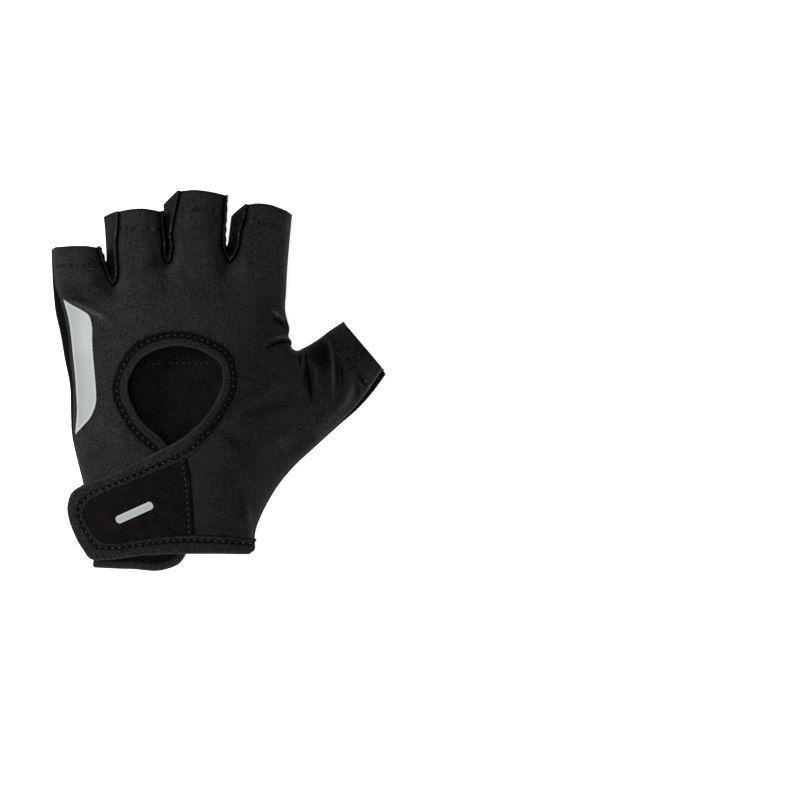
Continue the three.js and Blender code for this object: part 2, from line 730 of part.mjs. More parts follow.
function palmPanel() {
  const slot = (i) => SLOTS[i].rows.map((row) => new THREE.Vector2(row.palmX, row.palmY));
  const pinky = inset(pinkySide, UNDER - JOIN).filter((point) => point.y < PALM_ENDS.pinkyY);
  const index = inset(indexSide, UNDER + GAP).filter((point) => point.y < PALM_ENDS.indexY);
  const thumb = inset(thumbSide, UNDER - JOIN);
  const thumbEnd = index.at(-1).clone().sub(thumb[0]).normalize();
  const setback = new THREE.Vector2(-thumbEnd.y, thumbEnd.x).multiplyScalar(PALM_ENDS.thumbSetback);
  const outline = [
    ...pinky,
    new THREE.Vector2(pinky.at(-1).x, PALM_ENDS.pinkyY),
    ...slot(0),
    ...slot(1),
    ...slot(2),
    new THREE.Vector2(PALM_ENDS.indexX, PALM_ENDS.indexY),
    ...index.slice(0, -1),
    index.at(-1).clone().add(setback),
    thumb[0].clone().add(setback),
    ...thumb.slice(1),
  ];
  const cloth = prism(outline, PALM_LOW, PALM_HIGH);
  const pinkyWall = sideWall(pinkySide, GAP, 0, -SUEDE);
  const thumbWall = sideWall(thumbSide, GAP, 0, -SUEDE);
  return cloth.add(pinkyWall).add(thumbWall);
}

// Rows with one more halfway between each two
function halved(rows) {
  return rows.flatMap((row, i) => {
    if (i === 0) {
      return [row];
    }
    const middle = {};
    for (const column of Object.keys(row)) {
      middle[column] = (row[column] + rows[i - 1][column]) / 2;
    }
    return [middle, row];
  });
}

function gusset(seamRows) {
  const rows = halved(seamRows);
  const seam = plain(rows);
  return strip(rows.map((row, i) => {
    const before = seam[Math.max(0, i - 1)];
    const after = seam[Math.min(seam.length - 1, i + 1)];
    const along = after.clone().sub(before).normalize();
    const inX = along.y * BACK;
    const inY = -along.x * BACK;
    const top = back.at(row.x, row.y, -BACK) - GUSSET_DROP;
    const low = PALM_HIGH + GAP;
    const outer = [new THREE.Vector3(row.x, row.y, top), new THREE.Vector3(row.palmX, row.palmY, low)];
    const shift = new THREE.Vector3(inX, inY, 0);
    return { outer, inner: outer.map((point) => point.clone().add(shift)) };
  }));
}

// A side's row at a place along the glove, or its wrist row moved there past the wrist
function rowAt(side, y) {
  const rows = [...side].sort((a, b) => a.point.y - b.point.y);
  const k = Math.max(1, rows.findIndex((row) => row.point.y > y));
  const [low, high] = [rows[k - 1], rows[k]];
  const share = THREE.MathUtils.clamp((y - low.point.y) / (high.point.y - low.point.y), 0, 1);
  const point = low.point.clone().lerp(high.point, share).setY(y);
  const edge = point.clone().addScaledVector(low.out, -EDGE);
  return { point, out: low.out, edge, top: THREE.MathUtils.lerp(low.top, high.top, share) };
}

// The palm's tape at the wrist, with a band up the side wall at each of its ends
function cuffTape() {
  const band = (side, end) => {
    const rows = [rowAt(side, end.foldY), rowAt(side, end.sewnY)];
    return sideWall(rows, GAP, GAP + TAPE, GAP);
  };
  const [pinkyEnd, thumbEnd] = CUFF_TAPE;
  return foldedTape(palm, CUFF_TAPE, SUEDE)
    .add(band(pinkySide, pinkyEnd))
    .add(band(thumbSide, thumbEnd));
}

function strapPatch() {
  return strap.layer(strapRaw, -BACK, 0).intersect(prism(leftOfSeam(GAP)));
}

function reflectivePatch() {
  return back.layer(plain(REFLECTIVE_PATCH), GAP, GAP + FILM).intersect(prism(backOutline()));
}

function strapBar() {
  return strap.layer(roundedPad(STRAP_BAR), GAP, GAP + FILM);
}

function hookPad() {
  return back.layer(roundedPad(HOOK_PAD), GAP, GAP + HOOK);
}

function palmPatch() {
  return prism(roundedPad(PALM_PATCH), 0, PATCH_THICKNESS);
}

const KNIT = { color: '#262625', roughness: 0.85, metalness: 0 };
const GUSSET = { color: '#1c1a18', roughness: 0.8, metalness: 0 };
const PALM = { color: '#141412', roughness: 0.95, metalness: 0 };
const RIBBED = { color: '#161616', roughness: 0.8, metalness: 0 };
const VELOUR = { color: '#161615', roughness: 1, metalness: 0 };
const SILVER = { color: '#bfc4c4', roughness: 0.45, metalness: 0.3 };

const glove = new THREE.Group();

function addPiece(name, shape, finish) {
  const { vertProperties, triVerts } = shape.getMesh();
  const geometry = new THREE.BufferGeometry();
  geometry.setAttribute('position', new THREE.BufferAttribute(vertProperties, 3));
  geometry.setIndex(new THREE.BufferAttribute(triVerts, 1));
  geometry.computeVertexNormals();
  const mesh = new THREE.Mesh(geometry, new THREE.MeshStandardMaterial(finish));
  mesh.name = name;
  glove.add(mesh);
}

addPiece('back_panel', backPanel(), KNIT);
addPiece('palm_panel', palmPanel(), PALM);
for (const slot of SLOTS) {
  addPiece(slot.name, gusset(slot.rows), GUSSET);
}
addPiece('keyhole_tape', foldedTape(keyhole, keyholeRows, BACK), RIBBED);
addPiece('strap_tape', foldedTape(strap, strapRows, BACK), RIBBED);
addPiece('cuff_tape', cuffTape(), RIBBED);
addPiece('strap_patch', strapPatch(), VELOUR);
addPiece('hook_pad', hookPad(), VELOUR);
addPiece('strap_reflector', strapBar(), SILVER);
addPiece('reflective_patch', reflectivePatch(), SILVER);
addPiece('palm_patch', palmPatch(), PALM);

export default glove;
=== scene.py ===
import math

import bmesh
import bpy
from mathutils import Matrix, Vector, geometry, kdtree, noise


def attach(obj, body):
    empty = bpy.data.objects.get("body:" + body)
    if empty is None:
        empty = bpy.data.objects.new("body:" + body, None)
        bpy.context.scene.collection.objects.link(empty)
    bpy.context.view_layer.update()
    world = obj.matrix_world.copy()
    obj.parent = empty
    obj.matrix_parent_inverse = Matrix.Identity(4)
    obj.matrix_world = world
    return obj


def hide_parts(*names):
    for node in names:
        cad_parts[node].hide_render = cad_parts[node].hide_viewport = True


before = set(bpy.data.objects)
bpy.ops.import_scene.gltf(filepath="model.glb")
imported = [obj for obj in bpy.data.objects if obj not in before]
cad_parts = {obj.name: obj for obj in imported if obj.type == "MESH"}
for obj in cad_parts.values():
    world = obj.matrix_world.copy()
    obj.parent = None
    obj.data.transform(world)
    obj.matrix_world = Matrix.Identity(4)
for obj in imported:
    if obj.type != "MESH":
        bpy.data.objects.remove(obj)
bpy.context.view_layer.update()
bpy.ops.object.select_all(action="DESELECT")

# The photograph looks straight down from far away, so that there is hardly any perspective.
# Its frame is 340 mm wide at the height of the cloth, and the glove fills its left half.
CAMERA_PLACE = (0.0772, -0.0084, 1.5)
CLOTH_HEIGHT = 0.012
FRAME_WIDTH = 0.340

camera_data = bpy.data.cameras.new("photo_camera")
camera_data.sensor_width = 36
camera_data.lens = camera_data.sensor_width * (CAMERA_PLACE[2] - CLOTH_HEIGHT) / FRAME_WIDTH
camera = bpy.data.objects.new("photo_camera", camera_data)
camera.location = CAMERA_PLACE
bpy.context.scene.collection.objects.link(camera)
bpy.context.scene.camera = camera
bpy.context.scene.view_settings.view_transform = "Standard"

# The glove lies on a white studio table that is lit through from below, so that it throws hardly
# any shadow. Weak white light comes from all round. Two strip lights with grids run beside the
# glove's left side, one half-way up and one overhead, so that the left is lit most and the right
# falls off. A low soft box without a grid lights the lower right edges.
FLOOR_WIDTH = 6
FLOOR_GLOW = 0.9
SURROUND = 0.08
SOFT_BOXES = [
    {"place": (-0.27, 0.02, 0.27), "aim": (-0.06, 0, 0),
     "size": (0.4, 0.1), "spread": 50, "power": 0.15},
    {"place": (-0.05, 0, 0.4), "aim": (-0.065, 0, 0),
     "size": (0.3, 0.08), "spread": 45, "power": 0.1},
    {"place": (0.4, -0.28, 0.05), "aim": (0, 0, 0),
     "size": (0.14, 0.14), "spread": 180, "power": 1.3},
]

bpy.ops.mesh.primitive_plane_add(size=FLOOR_WIDTH, location=(0, 0, 0))
table_top = bpy.context.object
table_top.name = "table_top"
table_paint = bpy.data.materials.new("table_paint")
table_paint.use_nodes = True
table_surface = table_paint.node_tree.nodes["Principled BSDF"]
table_surface.inputs["Base Color"].default_value = (0.93, 0.93, 0.93, 1)
table_surface.inputs["Roughness"].default_value = 0.9
table_surface.inputs["Specular IOR Level"].default_value = 0.1
table_surface.inputs["Emission Color"].default_value = (1, 1, 1, 1)
table_surface.inputs["Emission Strength"].default_value = FLOOR_GLOW
table_top.data.materials.append(table_paint)

studio = bpy.data.worlds.new("studio")
studio.use_nodes = True
studio.node_tree.nodes["Background"].inputs["Color"].default_value = (1, 1, 1, 1)
studio.node_tree.nodes["Background"].inputs["Strength"].default_value = SURROUND
bpy.context.scene.world = studio

for box in SOFT_BOXES:
    soft_box_data = bpy.data.lights.new("soft_box", "AREA")
    soft_box_data.shape = "RECTANGLE"
    soft_box_data.size, soft_box_data.size_y = box["size"]
    soft_box_data.energy = box["power"]
    soft_box_data.spread = math.radians(box["spread"])
    soft_box = bpy.data.objects.new("soft_box", soft_box_data)
    soft_box.location = box["place"]
    aim = Vector(box["aim"]) - soft_box.location
    soft_box.rotation_euler = aim.to_track_quat("-Z", "Y").to_euler()
    bpy.context.scene.collection.objects.link(soft_box)

# The back is one piece of charcoal stretch knit about 1 mm thick: the four finger backs, the
# thumb's back and the part that ends in the wrist strap. It turns down over the index finger's side
# and round the web of the thumb, and its finger ends are hemmed with one row of stitches.
MM = 0.001
PALM_LEVEL = 1.0
BACK_THICKNESS = 1.0
# The cloth's points are nearer each other in the folded web of the thumb, between these x and y
BACK_SPACING = 0.85
FINE_SPACING = 0.42
FINE_PART = (19, 64, -16, 31)
# The fingers, from the little one on, and the thumb. Their sides are how much wider the round is
# there than the cloth's outline, left and right
LIMBS = [
    {"tip": (-60.8, 56.5), "tip_half": 9.6, "root": (-53, 15), "root_half": 13,
     "sides": (1.2, 1.25), "crown": 15},
    {"tip": (-33.4, 72.5), "tip_half": 8.6, "root": (-32, 15), "root_half": 12,
     "sides": (1.43, 1.25), "crown": 15},
    {"tip": (-6.3, 80), "tip_half": 9.6, "root": (-10, 15), "root_half": 13,
     "sides": (1.43, 1.25), "crown": 15},
    {"tip": (22.2, 74), "tip_half": 9, "root": (13, 15), "root_half": 13,
     "sides": (1.43, 1.25), "crown": 15},
    {"tip": (60.9, 14.4), "tip_half": 12.2, "root": (25, -13), "root_half": 21,
     "sides": (1.3, 1.4), "crown": 14},
]
PALM_SECTIONS = [
    {"y": -82, "left": -56, "right": 18, "crown": 14},
    {"y": -62, "left": -58, "right": 20, "crown": 15.5},
    {"y": -42, "left": -61, "right": 30, "crown": 17},
    {"y": -22, "left": -64, "right": 42, "crown": 19},
    {"y": 0, "left": -66, "right": 38, "crown": 20},
    {"y": 20, "left": -69, "right": 33, "crown": 19},
    {"y": 36, "left": -71, "right": 31, "crown": 16},
    {"y": 52, "left": -71, "right": 31, "crown": 6},
    {"y": 58, "left": -71, "right": 31, "crown": 0},
]
# The palm between these sections is worked out once, at even steps along it
PALM_ROWS_FROM = -100
PALM_ROWS_STEP = 0.5
PALM_ROWS_COUNT = 400
# How square the fingers' section and the palm's are, where 2 is round, and how sharply they meet
FINGER_SQUARENESS = 2.6
PALM_SQUARENESS = (3.5, 2.2)
JOIN_SHARPNESS = 8
# Slow unevenness of the back, each as how high, how many waves to a millimetre, and which noise
UNEVENNESS = [(0.55, 0.06, 1.7), (0.16, 0.19, 5.2)]
# Folds of the cloth. Each row is a place on the fold's line, how far the fold reaches to the left
# and to the right of the line as it runs, and how high it is there, or deep if negative. The
# painted light and shade says how much paler the knit is painted on the fold, as a painted
# highlight, or how much darker in a crease, as painted shade
FOLDS = [
    # Beside the index finger, where the web of the thumb begins
    {"painted_light_shade": -2.4, "rows": [
        (20.6, 13.9, 0.5, 0.6, -0.6), (23, 15, 0.6, 0.8, -2), (26, 16.1, 0.7, 0.9, -3.6),
        (31.8, 16.1, 0.7, 0.9, -4),
    ]},
    {"painted_light_shade": 2, "rows": [
        (21, 16.8, 1.1, 0.7, 0.2), (25, 18.1, 0.8, 0.6, 1.4), (27.4, 18.2, 0.7, 0.6, 2.4),
        (30.2, 18.2, 0.7, 0.6, 2.4),
    ]},
    {"painted_light_shade": -3, "rows": [
        (23.4, 26.8, 0.7, 1, -0.6), (26, 24.6, 0.9, 1.1, -2.4), (27.8, 22.4, 1, 1.2, -3),
        (29.4, 20, 0.8, 0.9, -2.4),
    ]},
    {"painted_light_shade": 1.7, "rows": [
        (23.4, 29.4, 0.8, 0.7, 0.6), (25.4, 27.8, 0.8, 0.6, 1.6), (27.4, 25.9, 0.7, 0.5, 1.6),
    ]},
    # Across the web and along the thumb, from the index finger outwards
    {"painted_light_shade": -1.1, "rows": [
        (34.8, 11.6, 0.45, 0.45, -1.2), (35.1, 9, 0.5, 0.45, -1.8), (35, 6.4, 0.4, 0.4, -0.7),
    ]},
    {"painted_light_shade": 0.8, "rows": [
        (31.4, 13.2, 0.5, 0.5, 0.6), (33.2, 12.3, 0.45, 0.45, 1), (34.5, 11, 0.4, 0.4, 0.5),
    ]},
    {"painted_light_shade": 0.8, "rows": [
        (36.2, 13.4, 0.5, 0.5, 0.8), (36.4, 10, 0.5, 0.5, 1.1), (36.2, 6, 0.5, 0.5, 0.5),
        (36, 3, 0.4, 0.4, 0.2),
    ]},
    {"painted_light_shade": -0.6, "rows": [
        (37.4, 10.4, 0.8, 0.35, -0.7), (37.2, 5, 1.2, 0.35, -1), (36.6, 0.5, 0.4, 0.35, -1),
        (36.5, -3, 0.4, 0.35, -0.4),
    ]},
    {"painted_light_shade": -1.2, "rows": [
        (38.2, 7, 1.2, 1, -0.8), (38.9, 1, 1.4, 1.2, -2.4), (39.4, -3, 1.1, 1.2, -2.4),
        (40.1, -9, 0.6, 0.8, -0.6),
    ]},
    {"painted_light_shade": -1.6, "rows": [
        (44.2, 17.6, 0.8, 4.4, -2), (46.2, 13.5, 0.8, 6, -3.2), (46.8, 8.5, 0.8, 5.5, -3),
        (47, 4.2, 0.8, 3, -0.9),
    ]},
    {"painted_light_shade": 0.3, "rows": [
        (42, 5, 1.4, 1.4, 0.6), (42.2, 1, 1.2, 1.4, 0.8), (42.4, -5, 1, 1, 0.4),
    ]},
    {"painted_light_shade": 1.2, "rows": [
        (46.9, 17.6, 0.6, 0.5, 0.3), (48.4, 12, 0.55, 0.6, 1.2), (48.8, 6, 0.55, 0.55, 1.6),
        (48.9, -1, 0.55, 0.55, 1.3), (48.6, -7, 0.9, 0.9, 0.4),
    ]},
    {"painted_light_shade": -0.5, "rows": [
        (50.4, 10.6, 0.6, 0.5, -0.4), (50.8, 5, 0.6, 0.5, -0.9), (50.8, 0, 0.5, 0.5, -0.8),
        (50.6, -4, 0.5, 0.5, -0.2),
    ]},
    {"painted_light_shade": -0.9, "rows": [
        (51.8, 8.4, 0.6, 0.5, -0.4), (52.6, 4, 0.8, 0.7, -1.3), (53, -1.4, 0.7, 0.7, -0.5),
    ]},
    {"painted_light_shade": 0.5, "rows": [
        (53.6, 7, 0.5, 0.5, 0.5), (54.7, 4.6, 0.6, 0.6, 1), (55, 0.5, 0.7, 0.6, 0.6),
    ]},
    {"painted_light_shade": 0.7, "rows": [
        (56, 2, 1.2, 1.2, 0.5), (56.4, -3, 1.6, 1.5, 1.4), (54.5, -8, 1.9, 2.1, 1.4),
        (50.5, -13.5, 2.5, 2.5, 1), (45, -19, 2.8, 2.8, 0.8), (37, -27, 2.6, 2.6, 0.5),
    ]},
    {"painted_light_shade": -0.7, "rows": [
        (58.6, -1, 0.9, 0.9, -0.5), (58.9, -4, 0.9, 0.9, -0.9), (58.2, -8, 0.8, 0.8, -0.4),
    ]},
    {"painted_light_shade": -2.2, "rows": [
        (58.8, 3, 0.45, 0.45, -0.7), (60.6, 0.4, 0.5, 0.5, -1.8), (62.3, -1.8, 0.4, 0.4, -1.2),
    ]},
    # Beside the silver patch, under the little finger
    {"painted_light_shade": -1, "rows": [
        (-63.6, 34.9, 0.5, 0.6, -0.6), (-59, 34.4, 0.6, 0.7, -1.4), (-54.6, 33.6, 0.8, 0.9, -1.2),
        (-51, 33.2, 1.2, 1.2, -0.5),
    ]},
    {"painted_light_shade": 1.4, "rows": [
        (-63, 33.8, 0.5, 0.9, 1.6), (-57.6, 31.6, 0.8, 1, 2.2), (-52.6, 28.8, 1.2, 1.2, 2.6),
        (-49, 26.9, 1.4, 1.4, 2.2), (-45.6, 24.6, 2.2, 2, 0.5),
    ]},
    # Round the crotches, from the little finger's to the index finger's
    {"painted_light_shade": -0.8, "rows": [
        (-50.8, 46, 1.6, 4, -0.4), (-48.4, 41.8, 2, 5.5, -1.4), (-46, 38, 2.2, 4, -1.4),
        (-49, 36.4, 1.4, 1.4, -0.2),
    ]},
    {"painted_light_shade": 0.35, "rows": [
        (-40.2, 47, 1.4, 2, 0.4), (-40.2, 42, 2.4, 2.8, 0.9), (-39, 36, 3, 3.4, 0.5),
    ]},
    {"painted_light_shade": -0.7, "rows": [
        (-26.6, 54, 1.6, 1.2, -0.4), (-25.8, 49.4, 2.2, 2, -1.4), (-29, 46.6, 2, 2.4, -0.4),
    ]},
    {"painted_light_shade": 0.35, "rows": [
        (-16.6, 57, 1.6, 1.6, 0.4), (-17, 51, 2.2, 2.2, 0.9), (-18.6, 46, 2.6, 2.6, 0.5),
    ]},
    {"painted_light_shade": -0.1, "rows": [
        (-0.6, 56, 1.8, 1.6, -0.2), (1, 49, 3, 2.4, -0.8), (2.6, 45.4, 3, 2.4, -0.2),
    ]},
    {"painted_light_shade": 0.4, "rows": [
        (12.4, 56, 1.8, 1.8, 0.4), (10.6, 48, 2.2, 2.4, 1), (11, 38, 2.6, 2.6, 0.5),
    ]},
    # From the keyhole's right side towards the root of the thumb
    {"painted_light_shade": 0.2, "rows": [
        (7.6, -13.4, 1.4, 1.6, 0.8), (15, -9.4, 1.6, 1.8, 1.5), (25, -2.4, 2.4, 2.6, 0.6),
    ]},
    {"painted_light_shade": -0.3, "rows": [
        (9.4, -16.4, 1.4, 1.6, -0.8), (19, -12.4, 1.8, 1.8, -1.2), (31, -8.6, 2.4, 2.4, -0.4),
    ]},
    {"painted_light_shade": 0.3, "rows": [
        (2.4, -18.4, 1, 1.2, 0.8), (9, -15.6, 1.2, 1.4, 1.2), (19, -15.6, 2, 2, 0.4),
    ]},
    {"painted_light_shade": -0.35, "rows": [
        (1.4, -21.6, 0.9, 1.2, -0.8), (7.4, -25.6, 1.4, 1.4, -1.4), (14, -29.4, 2.4, 2.4, -0.4),
    ]},
    {"painted_light_shade": 0.2, "rows": [
        (20, -27.4, 2.6, 2.6, 0.6), (28, -24, 3, 3, 1.2), (36, -20, 3, 3, 0.4),
    ]},
    {"painted_light_shade": -0.35, "rows": [
        (26, -32.4, 2, 2, -0.6), (33, -28, 2.2, 2.2, -1.1), (39, -23, 2.4, 2.4, -0.4),
    ]},
    # At the strap's thumb end, above the wrist
    {"painted_light_shade": 0.6, "rows": [
        (12, -49, 0.9, 1.2, 0.6), (13.4, -56, 0.9, 1.1, 1.6), (14.1, -66, 0.8, 1, 1.1),
    ]},
    {"painted_light_shade": -0.2, "rows": [
        (9, -49, 2, 2.4, -0.4), (9.6, -56, 2.2, 2.6, -0.9), (7.4, -64, 2.4, 2.6, -0.4),
    ]},
    # Broad bends where the cloth turns away from the light, shown mostly as painted shade
    {"painted_light_shade": -0.48, "rows": [
        (21, 36, 6, 6, -0.1), (19, 24, 9, 8, -0.25), (15, 4, 13, 9, -0.4), (12, -20, 14, 10, -0.4),
        (4, -45, 13, 11, -0.4), (2, -70, 11, 10, -0.4),
    ]},
    {"painted_light_shade": -0.3, "rows": [
        (-54, 57, 3, 3, -0.1), (-53.4, 50, 3, 3.4, -0.1),
    ]},
    {"painted_light_shade": -0.3, "rows": [
        (-28, 73, 3, 3, -0.1), (-27.6, 60, 3, 3, -0.1), (-27, 52, 3, 3, -0.1),
    ]},
    {"painted_light_shade": -0.35, "rows": [
        (-1, 80, 3.6, 3.6, -0.1), (-2, 66, 3.6, 3.6, -0.1), (-1.6, 56, 3.6, 3.6, -0.1),
    ]},
    {"painted_light_shade": -0.45, "rows": [
        (-64, 38.6, 2.2, 3, -0.1), (-57, 38.2, 2.4, 3, -0.1), (-50.5, 37, 2, 2, -0.1),
    ]},
    # Left of the keyhole
    {"painted_light_shade": 0.1, "rows": [
        (-48, -16, 3, 3, 0.7), (-40, -24, 3, 3, 0.6),
    ]},
    {"painted_light_shade": -0.1, "rows": [
        (-58, -34, 4, 4, -0.6), (-44, -30, 4, 4, -0.7),
    ]},
]
# How many of its widths away a fold has died out
FOLD_REACH = 2.6
# How pale the knit is painted where its edge is turned in at a seam, and just beside that: painted
# shade in the seam's groove and just inside the panel's rolled rim
TURNED_EDGE_PAINTED_SHADE = 0.15
RIM_PAINTED_SHADE = 0.55
RIM = 0.5
# How far the palm's edge at the wrist slopes back up each side, for its height. The slope starts
# this far up from the wrist, and the tape covers the first of it
WRIST_SLOPE = 0.3
WRIST_REACH = 6
WRIST_COVER = 0.6
# The silhouette's side tables: place on the silhouette, how far inside it the seam lies, and how
# much paler the knit is painted towards the silhouette: painted highlight, or painted shade below 1
PINKY_SIDE = [
    (-52.9, -78, 0.5), (-55, -60, 0.5), (-58, -44, 0.5), (-61.2, -31.4, 0.6), (-62.9, -22.8, 0.8),
    (-63.3, -13.6, 1.2), (-63.6, -2.8, 1.6), (-65.6, 8.1, 2.4), (-68, 21.6, 3.6),
    (-69.6, 28.5, 3.6), (-70.4, 34.6, 2.8), (-70.8, 38.6, 1.6), (-71.1, 43, 1), (-71.5, 55.5, 0.6),
]
INDEX_SIDE = [
    (31.2, 70.6, 0, 1), (30.2, 60, 0, 1.3), (29.2, 48, 0, 1.3), (28.6, 37, 0, 1.3),
    (28.3, 29.6, 0, 1.2), (29.2, 25.4, 0, 1), (30, 22.2, 0, 1), (29.8, 18.4, 0, 1.3),
    (31, 16.3, 0, 1), (30.8, 14.6, 0, 1), (31.7, 13.2, 0, 1), (33.5, 12.7, 0, 1),
    (36.2, 13.9, 0, 0.6), (42, 17.3, 0, 0.35), (46.8, 20.9, 0, 0.35), (53.2, 25.2, 0, 0.35),
]
THUMB_SIDE = [
    (71.1, 2.5, 2.1, 4), (65.1, -5.6, 1.8, 4), (59.3, -12, 1.1, 2.8), (51.8, -18.6, 0.5, 1.6),
    (40.3, -29, 0.4, 1), (31.7, -37, 0.4, 1), (25.1, -45, 0.4, 1), (20.6, -52.4, 0.4, 1),
    (17.8, -58, 0.4, 1), (16.1, -62.4, 0.4, 1), (15.3, -66, 0.4, 1), (15.1, -69, 0.4, 1),
    (14.6, -72.4, 0.4, 1),
]
# Slots between the fingers, round each crotch: the seam on the back, and the palm's edge below it
SLOTS = {
    "gusset_pinky_ring": [
        (-52, 56.5, -50.4, 55.4), (-50.3, 51, -49.8, 53.4), (-48.4, 46, -49.1, 51.2),
        (-46.4, 41.6, -48.8, 50.2), (-44.6, 39.9, -48.6, 50), (-42.9, 41.4, -48.5, 50.4),
        (-42, 45.5, -48.4, 52), (-42.4, 51.7, -48.5, 55.5), (-42.7, 58, -48.8, 60.6),
        (-42, 65, -49.1, 65.4), (-41.8, 71.8, -49.6, 70),
    ],
    "gusset_ring_middle": [
        (-25.2, 71.9, -24.6, 71.4), (-24.8, 65, -24.4, 71.2), (-24.1, 58, -24.3, 71),
        (-23.7, 53, -24.2, 70.9), (-22, 49.3, -24.1, 70.9), (-20.2, 50.2, -24, 70.9),
        (-19.2, 53, -23.9, 71), (-18.7, 56.6, -23.9, 71.3), (-19.3, 61, -23.9, 71.8),
        (-18.5, 67.8, -23.9, 72.6), (-17.1, 74, -24, 73.8), (-15.7, 80.4, -24.1, 75.2),
    ],
    "gusset_middle_index": [
        (2.4, 78.8, 2.2, 76.2), (1.9, 70, 2.1, 69.6), (1.4, 62, 1.9, 64.2), (1.5, 56.4, 2.1, 59.6),
        (2.9, 52.4, 2.6, 57.9), (4.8, 49.8, 3.1, 57.5), (7.1, 52, 3.5, 58.2), (9.2, 56.2, 3.8, 60),
        (10.2, 62.9, 4.2, 63.2), (12, 69.1, 4.6, 66.8), (13, 74.7, 5, 70.2),
    ],
}
FINGER_ENDS = [
    [(-66, 56.7), (-60, 57), (-55, 56.9)],
    [(-37, 72.5), (-32.2, 72.8), (-27.6, 72.3)],
    [(-10.2, 80.7), (-2.9, 79.9)],
    [(16.6, 75), (22.6, 74.3), (26.6, 72.9)],
]
# The tape's folded edge and its sewn edge, along the flap, round the keyhole and round the strap
KEYHOLE_TAPE = [
    (-53, -79.9, -52.4, -73), (-37, -80.2, -37, -73.3), (-23, -80.5, -24.5, -73.6),
    (-16.2, -77.6, -20.4, -71.9), (-12.8, -72, -19.4, -69), (-12.8, -62, -19.3, -61),
    (-14.2, -48, -21, -46.5), (-17.5, -36.5, -24, -34), (-21.9, -27, -27.6, -31.2),
    (-33.1, -15.8, -39, -19.6), (-38, -2.5, -45, -2.7), (-33.1, 8.1, -37.8, 13.3),
    (-18.5, 14.4, -19.3, 21.4), (-6.3, 12, -3.3, 18.3), (1.5, 6.1, 7.2, 10.2),
    (2.3, -0.5, 9.3, -1.6), (-1.4, -9.9, 4.8, -13.2), (-6.3, -17.3, -0.8, -21.6),
]
STRAP_TAPE = [
    (-6.5, -17.6, -1, -21.9), (-13.6, -23.6, -9, -30), (-28.9, -31.9, -27.2, -39.1),
    (-47.2, -40.8, -44.5, -46.2), (-56.9, -44.2, -51.3, -49.2), (-62.2, -47.8, -54.9, -52),
    (-64, -53, -56.8, -55), (-61.1, -65.2, -54.8, -61.5), (-57.7, -71.4, -52.4, -65.5),
    (-54, -76, -49.4, -68.4), (-48.3, -76.2, -45.5, -69.1), (-30.5, -74.2, -31, -67.4),
    (-13.9, -73.6, -13.9, -65.6), (13, -74.1, 15.8, -67.6),
]
# How far across the tape the raw edge inside it lies
RAW_SHARE = 0.27
STRAP_SEAM = [
    (-14.3, -26.4), (-13, -32.8), (-11.7, -38), (-10.8, -48), (-10.2, -58), (-9.8, -65),
    (-9.7, -71.8),
]
# The strap rises off the hand left of and below a place, over these distances, and its tip droops
STRAP_LIFT = 3.9
RISE_FROM = (6, -8)
RISE_OVER = (17, 12)
DROOP_FROM = -30
DROOP_EASING = 6
DROOP = 0.3
# A side wall reaches out from the back's edge at least this far to the silhouette, and at least the
# margin to its seam. Its last few rows lean
LEAST_WALL = 2.5
SEAM_MARGIN = 1.4
LEAN_ROWS = 4
# The wall's curves: how high the silhouette lies, for the back's height, how far out and how
# steeply the shoulder reaches, how full the curves are, and where they bend to and meet the palm's
# flat part
SIDE_HEIGHT = 0.45
SHOULDER = 0.55
STEEPEST_SHOULDER = -2.5
FULLNESS = 0.4
PALM_BEND = 1.6
PALM_TUCK = 3.5
# Into how many steps each curve is cut, and the part of it between an edge and the seam
CURVE_STEPS = 8
FACE_STEPS = 4
# A cloth's edge turns in at a seam by (distance back along the face, depth in the groove). The face
# ends a gap before the seam
TURN_IN = [(0.3, 0), (0.1, 0.12), (0, 0.7)]
TURN_GAP = 0.5
# The hems: how deep they are, how high the doubled cloth stands and over what distance it ends, and
# how far inside its end the stitches run
HEM_DEPTH = 8.8
HEM_RISE = 0.25
HEM_STEP = 1.2
HEM_STITCH_INSET = 0.6
HEMS = [
    ((-71.4, 56.6), (-50, 56.9)),
    ((-43, 72.6), (-23.5, 72.4)),
    ((-16.2, 81.1), (3.6, 79.6)),
    ((12.4, 75.6), (31.6, 72.8)),
    ((52.6, 25.7), (71.6, 1.1)),
]


def clamped(number):
    """A number held between 0 and 1."""
    return max(0.0, min(1.0, number))


def eased(share):
    """A share from 0 to 1 that starts and ends gently."""
    share = clamped(share)
    return share * share * (3 - 2 * share)


def limb_height(limb, x, y):
    """A rounded tube from the palm to a finger's end."""
    axis_x = limb["tip"][0] - limb["root"][0]
    axis_y = limb["tip"][1] - limb["root"][1]
    length = math.hypot(axis_x, axis_y)
    along = ((x - limb["root"][0]) * axis_x + (y - limb["root"][1]) * axis_y) / length
    across = ((x - limb["root"][0]) * axis_y - (y - limb["root"][1]) * axis_x) / length
    share = clamped(along / length)
    half = limb["root_half"] + (limb["tip_half"] - limb["root_half"]) * share
    reach = half * limb["sides"][0 if across < 0 else 1]
    behind = max(0, -along) / limb["root_half"]
    inside = 1 - abs(across / reach) ** FINGER_SQUARENESS - behind ** 2
    return limb["crown"] * math.sqrt(max(0, inside))


def palm_row(y):
    """The palm's left side, right side and crown along it, with the table's corners eased."""
    sums = [0.0, 0.0, 0.0]
    places = [y + step for step in range(-9, 10, 3)]
    for place in places:
        i = 1
        while i < len(PALM_SECTIONS) - 1 and PALM_SECTIONS[i]["y"] < place:
            i += 1
        below = PALM_SECTIONS[i - 1]
        above = PALM_SECTIONS[i]
        share = clamped((place - below["y"]) / (above["y"] - below["y"]))
        for k, side in enumerate(("left", "right", "crown")):
            sums[k] += below[side] + (above[side] - below[side]) * share
    return [total / len(places) for total in sums]


PALM_ROWS = [palm_row(PALM_ROWS_FROM + PALM_ROWS_STEP * i) for i in range(PALM_ROWS_COUNT)]


